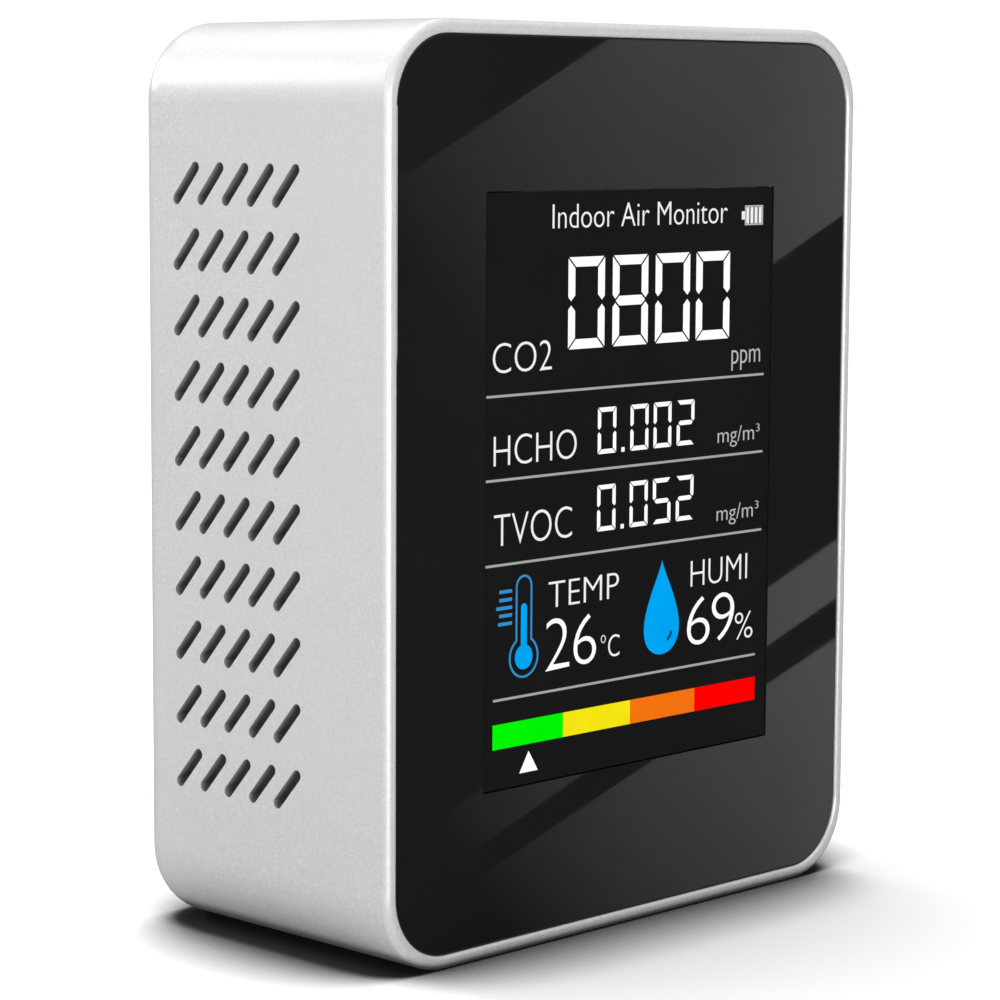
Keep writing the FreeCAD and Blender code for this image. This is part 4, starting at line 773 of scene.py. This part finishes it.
def make_display_content():
    """Everything that the display shows, piece by piece from the top down."""
    white = lit("lit_white", (1.0, 1.0, 1.0))
    label = lit("lit_label", (0.83, 0.84, 0.85))
    unit = lit("lit_unit", (0.47, 0.47, 0.48))
    line = lit("lit_line", (0.36, 0.365, 0.37))
    blue = lit("lit_blue", (0.0, 0.36, 0.85))
    pale_blue = lit("lit_outline_blue", (0.035, 0.26, 0.55))
    dark_blue = lit("drop_stroke_blue", (0.0, 0.05, 0.15))
    tree = make_block_tree()

    lettering("title_words", "Indoor Air Monitor", (-12.75, 14.87), (26.85, 29.35), label, SMALL_THINNER)
    battery_symbol(tree, label, unit)

    big = {"bottom": 14.3, "width": 5.55, "height": 9.55, "stroke": 1.02}
    number_piece("co2_number", "0800", (-10.3, -3.5, 3.25, 9.85), material=white, **big)
    lettering("co2_label", "CO2", (-21.4, -12.73), (12.35, 15.45), label)
    lettering("co2_unit", "ppm", (15.9, 20.75), (10.7, 12.95), unit, UNIT_THINNER)

    small = {"lefts": (-5.6, -0.5, 3.2, 6.95), "point": -1.9, "width": 2.85, "height": 4.9, "stroke": 0.48}
    unit_range = (13.75, 20.85)
    number_piece("hcho_number", "0002", bottom=3.05, material=white, **small)
    lettering("hcho_label", "HCHO", (-21.2, -8.86), (2.9, 6.0), label)
    lettering("hcho_unit", "mg/m³", unit_range, (2.3, 4.6), unit, UNIT_THINNER)

    number_piece("tvoc_number", "0052", bottom=-5.15, material=white, **small)
    lettering("tvoc_label", "TVOC", (-21.1, -9.48), (-5.35, -2.05), label)
    lettering("tvoc_unit", "mg/m³", unit_range, (-6.3, -4.0), unit, UNIT_THINNER)

    thermometer(pale_blue, blue)
    ticks = [(-19.34, -10.1, 1.0), (-19.34, -10.97, 1.0), (-19.55, -11.8, 1.25), (-19.34, -12.6, 1.0),
             (-19.42, -13.45, 1.1)]
    blocks_piece("thermometer_ticks", tree, ticks, 1.85, 0.36, pale_blue)
    lettering("temp_label", "TEMP", (-12.93, -2.1), (-12.5, -9.8), label)
    lettering("temp_number", "26", (-13.3, -5.6), (-19.15, -13.7), white, NUMBER_THINNER, 0.92)
    lettering("temp_unit", "°C", (-4.83, -1.9), (-18.8, -16.3), label, SMALL_THINNER)
    drop(blue, dark_blue)
    lettering("humi_label", "HUMI", (9.55, 19.05), (-12.6, -9.75), label)
    lettering("humi_number", "69", (9.05, 16.95), (-19.1, -13.75), white, NUMBER_THINNER, 0.86)
    lettering("humi_unit", "%", (17.1, 20.15), (-19.3, -16.3), label, SMALL_THINNER)

    dividers = [(-0.45, 10.05, 1.0), (-0.45, 1.45, 1.0), (-0.45, -7.3, 1.0), (-0.25, -21.3, 0.955)]
    blocks_piece("divider_lines", tree, dividers, 43.7, 0.26, line)
    make_scale(tree)
    outline_piece("scale_pointer", [[(-17.15, -29.4), (-14.4, -29.4), (-15.8, -27.2)]], white)


def battery_symbol(tree, bar_material, frame_material):
    """The battery: four bars in a fine frame, with its nub on the left."""
    first_bar, bar_pitch, middle_z, line = 18.3, 0.7, 27.62, 0.16
    rail_x, rail_width, rail_heights = 19.35, 3.0, (28.62, 26.62)
    end_places, end_height = (17.9, 20.8), 2.16
    bars = [(first_bar + bar_pitch * step, middle_z, 1.0) for step in range(4)]
    blocks_piece("battery_bars", tree, bars, 0.46, 1.75, bar_material)
    rails = [(rail_x, z, 1.0) for z in rail_heights]
    blocks_piece("battery_rails", tree, rails, rail_width, line, frame_material)
    ends = [(x, middle_z, 1.0) for x in end_places]
    blocks_piece("battery_ends", tree, ends, line, end_height, frame_material)
    blocks_piece("battery_nub", tree, [(17.55, middle_z, 1.0)], 0.5, 0.9, bar_material)


def make_scale(tree):
    """The coloured scale, one block for each quality of air."""
    colours = (
        ("green", (0.0, 0.88, 0.001)),
        ("yellow", (0.87, 0.76, 0.006)),
        ("orange", (0.86, 0.165, 0.005)),
        ("red", (1.0, 0.0, 0.0)),
    )
    edges = (-21.15, -10.6, -0.13, 10.36, 20.65)
    middle_z, height = -25.15, 2.6
    for (colour, shade), start, end in zip(colours, edges, edges[1:]):
        spot = [((start + end) / 2, middle_z, 1.0)]
        blocks_piece("scale_" + colour, tree, spot, end - start, height, lit("lit_" + colour, shade))


# ---- studio ---------------------------------------------------------------------------------

CAMERA_PLACE = Vector((-0.253185, -0.246365, 0.087109))
CAMERA_TURN = (83.0704, -0.3188, -45.6341)
CAMERA_LENS = 115.811


def make_camera():
    """The main view's camera."""
    data = bpy.data.cameras.new("camera")
    data.lens = CAMERA_LENS
    data.sensor_width = 36.0
    data.clip_start = 0.01
    camera = bpy.data.objects.new("camera", data)
    camera.location = CAMERA_PLACE
    camera.rotation_euler = [math.radians(angle) for angle in CAMERA_TURN]
    bpy.context.scene.collection.objects.link(camera)
    bpy.context.scene.camera = camera


def make_floor_material():
    """White, with a painted shadow that darkens it close to where something stands on it."""
    material, tree, shader = new_finish("floor_white", Roughness=0.9, Specular_IOR_Level=0.0)
    shade_reach, dark, pale = 0.027, 0.03, 0.95
    # Painted shadow: the floor's colour goes dark where it is hemmed in, close to the object.
    reach = add(tree, "ShaderNodeAmbientOcclusion", {"Distance": shade_reach}, samples=32).outputs["AO"]
    shadow_painted_level = spread(tree, reach, 0.48, 0.8, dark, pale)
    grey = add(tree, "ShaderNodeCombineColor", {0: shadow_painted_level, 1: shadow_painted_level, 2: shadow_painted_level}).outputs[0]
    feed(tree, shader, grey)
    return material


def make_floor():
    """A white floor with a painted contact shadow."""
    mesh = bpy.data.meshes.new("floor")
    half = 6.0
    corners = [(-half, -half, 0), (half, -half, 0), (half, half, 0), (-half, half, 0)]
    mesh.from_pydata(corners, [], [(0, 1, 2, 3)])
    mesh.materials.append(make_floor_material())
    floor = bpy.data.objects.new("floor", mesh)
    floor.visible_glossy = False
    bpy.context.scene.collection.objects.link(floor)


def make_world():
    """White surroundings. As light they are dim at the horizon and bright overhead."""
    horizon_height, horizon_light, overhead_light, backdrop = 0.15, 0.12, 1.2, 1.05
    world = bpy.data.worlds.new("studio")
    world.use_nodes = True
    tree = world.node_tree
    seen = add(tree, "ShaderNodeLightPath").outputs["Is Camera Ray"]
    direction = add(tree, "ShaderNodeTexCoord").outputs["Generated"]
    height = add(tree, "ShaderNodeSeparateXYZ", {0: direction}).outputs["Z"]
    light = spread(tree, height, horizon_height, 1.0, horizon_light, overhead_light)
    strength = maths(tree, "MAXIMUM", light, maths(tree, "MULTIPLY", seen, backdrop))
    tree.links.new(strength, tree.nodes["Background"].inputs["Strength"])
    tree.nodes["Background"].inputs["Color"].default_value = (1, 1, 1, 1)
    bpy.context.scene.world = world


def soft_light(name, place, aim, width, height, watts):
    """A rectangular soft light that points at aim."""
    data = bpy.data.lights.new(name, "AREA")
    data.shape = "RECTANGLE"
    data.size = width
    data.size_y = height
    data.energy = watts
    light = bpy.data.objects.new(name, data)
    light.location = place
    light.rotation_euler = (Vector(aim) - Vector(place)).to_track_quat("-Z", "Y").to_euler()
    light.visible_camera = False
    bpy.context.scene.collection.objects.link(light)


def sun_light(name, place, strength, spread_angle):
    """A very soft light from far away, from place towards the middle."""
    data = bpy.data.lights.new(name, "SUN")
    data.energy = strength
    data.angle = math.radians(spread_angle)
    light = bpy.data.objects.new(name, data)
    light.rotation_euler = Vector(place).to_track_quat("Z", "Y").to_euler()
    bpy.context.scene.collection.objects.link(light)


def make_lights():
    """A broad light from above, a box behind for the top corners, one at the side and a low one in front."""
    sun_light("overhead", (0.0, 0.3, 1.0), 1.6, 60.0)
    soft_light("rear_box", (-0.3, 1.1, 0.5), (0, 0, 0.05), 0.3, 0.12, 5.5)
    soft_light("side_box", (-1.3, -0.1, 0.35), (0, 0, 0.05), 0.9, 0.7, 3.2)
    soft_light("front_box", (-0.35, -0.6, 0.06), (0, 0, 0.0), 0.5, 0.1, 2.5)


# Reflections on the panel: strips of a screen in front of it, each between two lines. A line is given by
# its height on the panel at the panel's left and right edges, in millimetres above the base. A bright
# strip has its brightness at one place, that place's x and z, and how much it grows per mm across and up.
PANEL_LINES = {
    "above": (150.0, 180.0),
    "upper": (80.1, 113.0),
    "middle": (46.1, 75.5),
    "lower": (13.7, 38.5),
    "stripe_top": (7.9, 31.7),
    "stripe_foot": (5.1, 27.0),
    "below": (-60.0, -30.0),
}
PANEL_STRIPS = (
    ("above", "upper", None),
    ("upper", "middle", (0.56, -7.8, 92.2, 0.0116, 0.013)),
    ("middle", "lower", None),
    ("lower", "stripe_top", (0.304, -8.3, 12.5, 0.016, 0.0128)),
    ("stripe_top", "stripe_foot", None),
    ("stripe_foot", "below", (0.304, -8.3, 12.5, 0.016, 0.0128)),
)
SCREEN_DISTANCE = 0.5
SCREEN_MARGIN = 25.0


def on_screen(x, z):
    """Where the screen shows at a place on the panel, seen from the camera."""
    seen = Vector((x * MM, panel_low.y, z * MM))
    ray = seen - CAMERA_PLACE
    ray.y = -ray.y
    return seen + ray * (SCREEN_DISTANCE / ray.length)


def make_screen_material():
    """Light that is as strong as the strip's own brightness."""
    material = bpy.data.materials.new("screen_light")
    material.use_nodes = True
    tree = material.node_tree
    tree.nodes.remove(tree.nodes["Principled BSDF"])
    bright = add(tree, "ShaderNodeAttribute", attribute_name="brightness").outputs["Fac"]
    strength = maths(tree, "MAXIMUM", bright, 0.0)
    glow = add(tree, "ShaderNodeEmission", {"Strength": strength}).outputs[0]
    tree.links.new(glow, tree.nodes["Material Output"].inputs["Surface"])
    return material


def make_screen():
    """The screen that the glossy panel mirrors: bright and dark strips, seen only in reflections."""
    left, right = panel_low.x / MM, panel_high.x / MM
    columns = (left - SCREEN_MARGIN, left, 0.0, right, right + SCREEN_MARGIN)
    corners, faces, brightness = [], [], []
    for top, foot, glow in PANEL_STRIPS:
        for start, end in zip(columns, columns[1:]):
            face = []
            for x, line in ((start, foot), (end, foot), (end, top), (start, top)):
                low, high = PANEL_LINES[line]
                z = low + (high - low) * (x - left) / (right - left)
                face.append(len(corners))
                corners.append(on_screen(x, z))
                if glow:
                    level, from_x, from_z, across, upward = glow
                    brightness.append(min(1.0, level + across * (x - from_x) + upward * (z - from_z)))
                else:
                    brightness.append(0.0)
            faces.append(face)
    mesh = bpy.data.meshes.new("reflection_screen")
    mesh.from_pydata(corners, [], faces)
    mesh.attributes.new("brightness", "FLOAT", "POINT").data.foreach_set("value", brightness)
    mesh.materials.append(make_screen_material())
    screen = bpy.data.objects.new("reflection_screen", mesh)
    for ray in ("camera", "diffuse", "transmission", "volume_scatter", "shadow"):
        setattr(screen, "visible_" + ray, False)
    bpy.context.scene.collection.objects.link(screen)


# ---- the scene ------------------------------------------------------------------------------

paint_frame(make_finishes())
make_display_content()
button_mark(moulded("mark_grey", (0.12, 0.12, 0.12), 0.5))
make_camera()
make_floor()
make_world()
make_lights()
make_screen()
bpy.context.scene.view_settings.view_transform = "Standard"
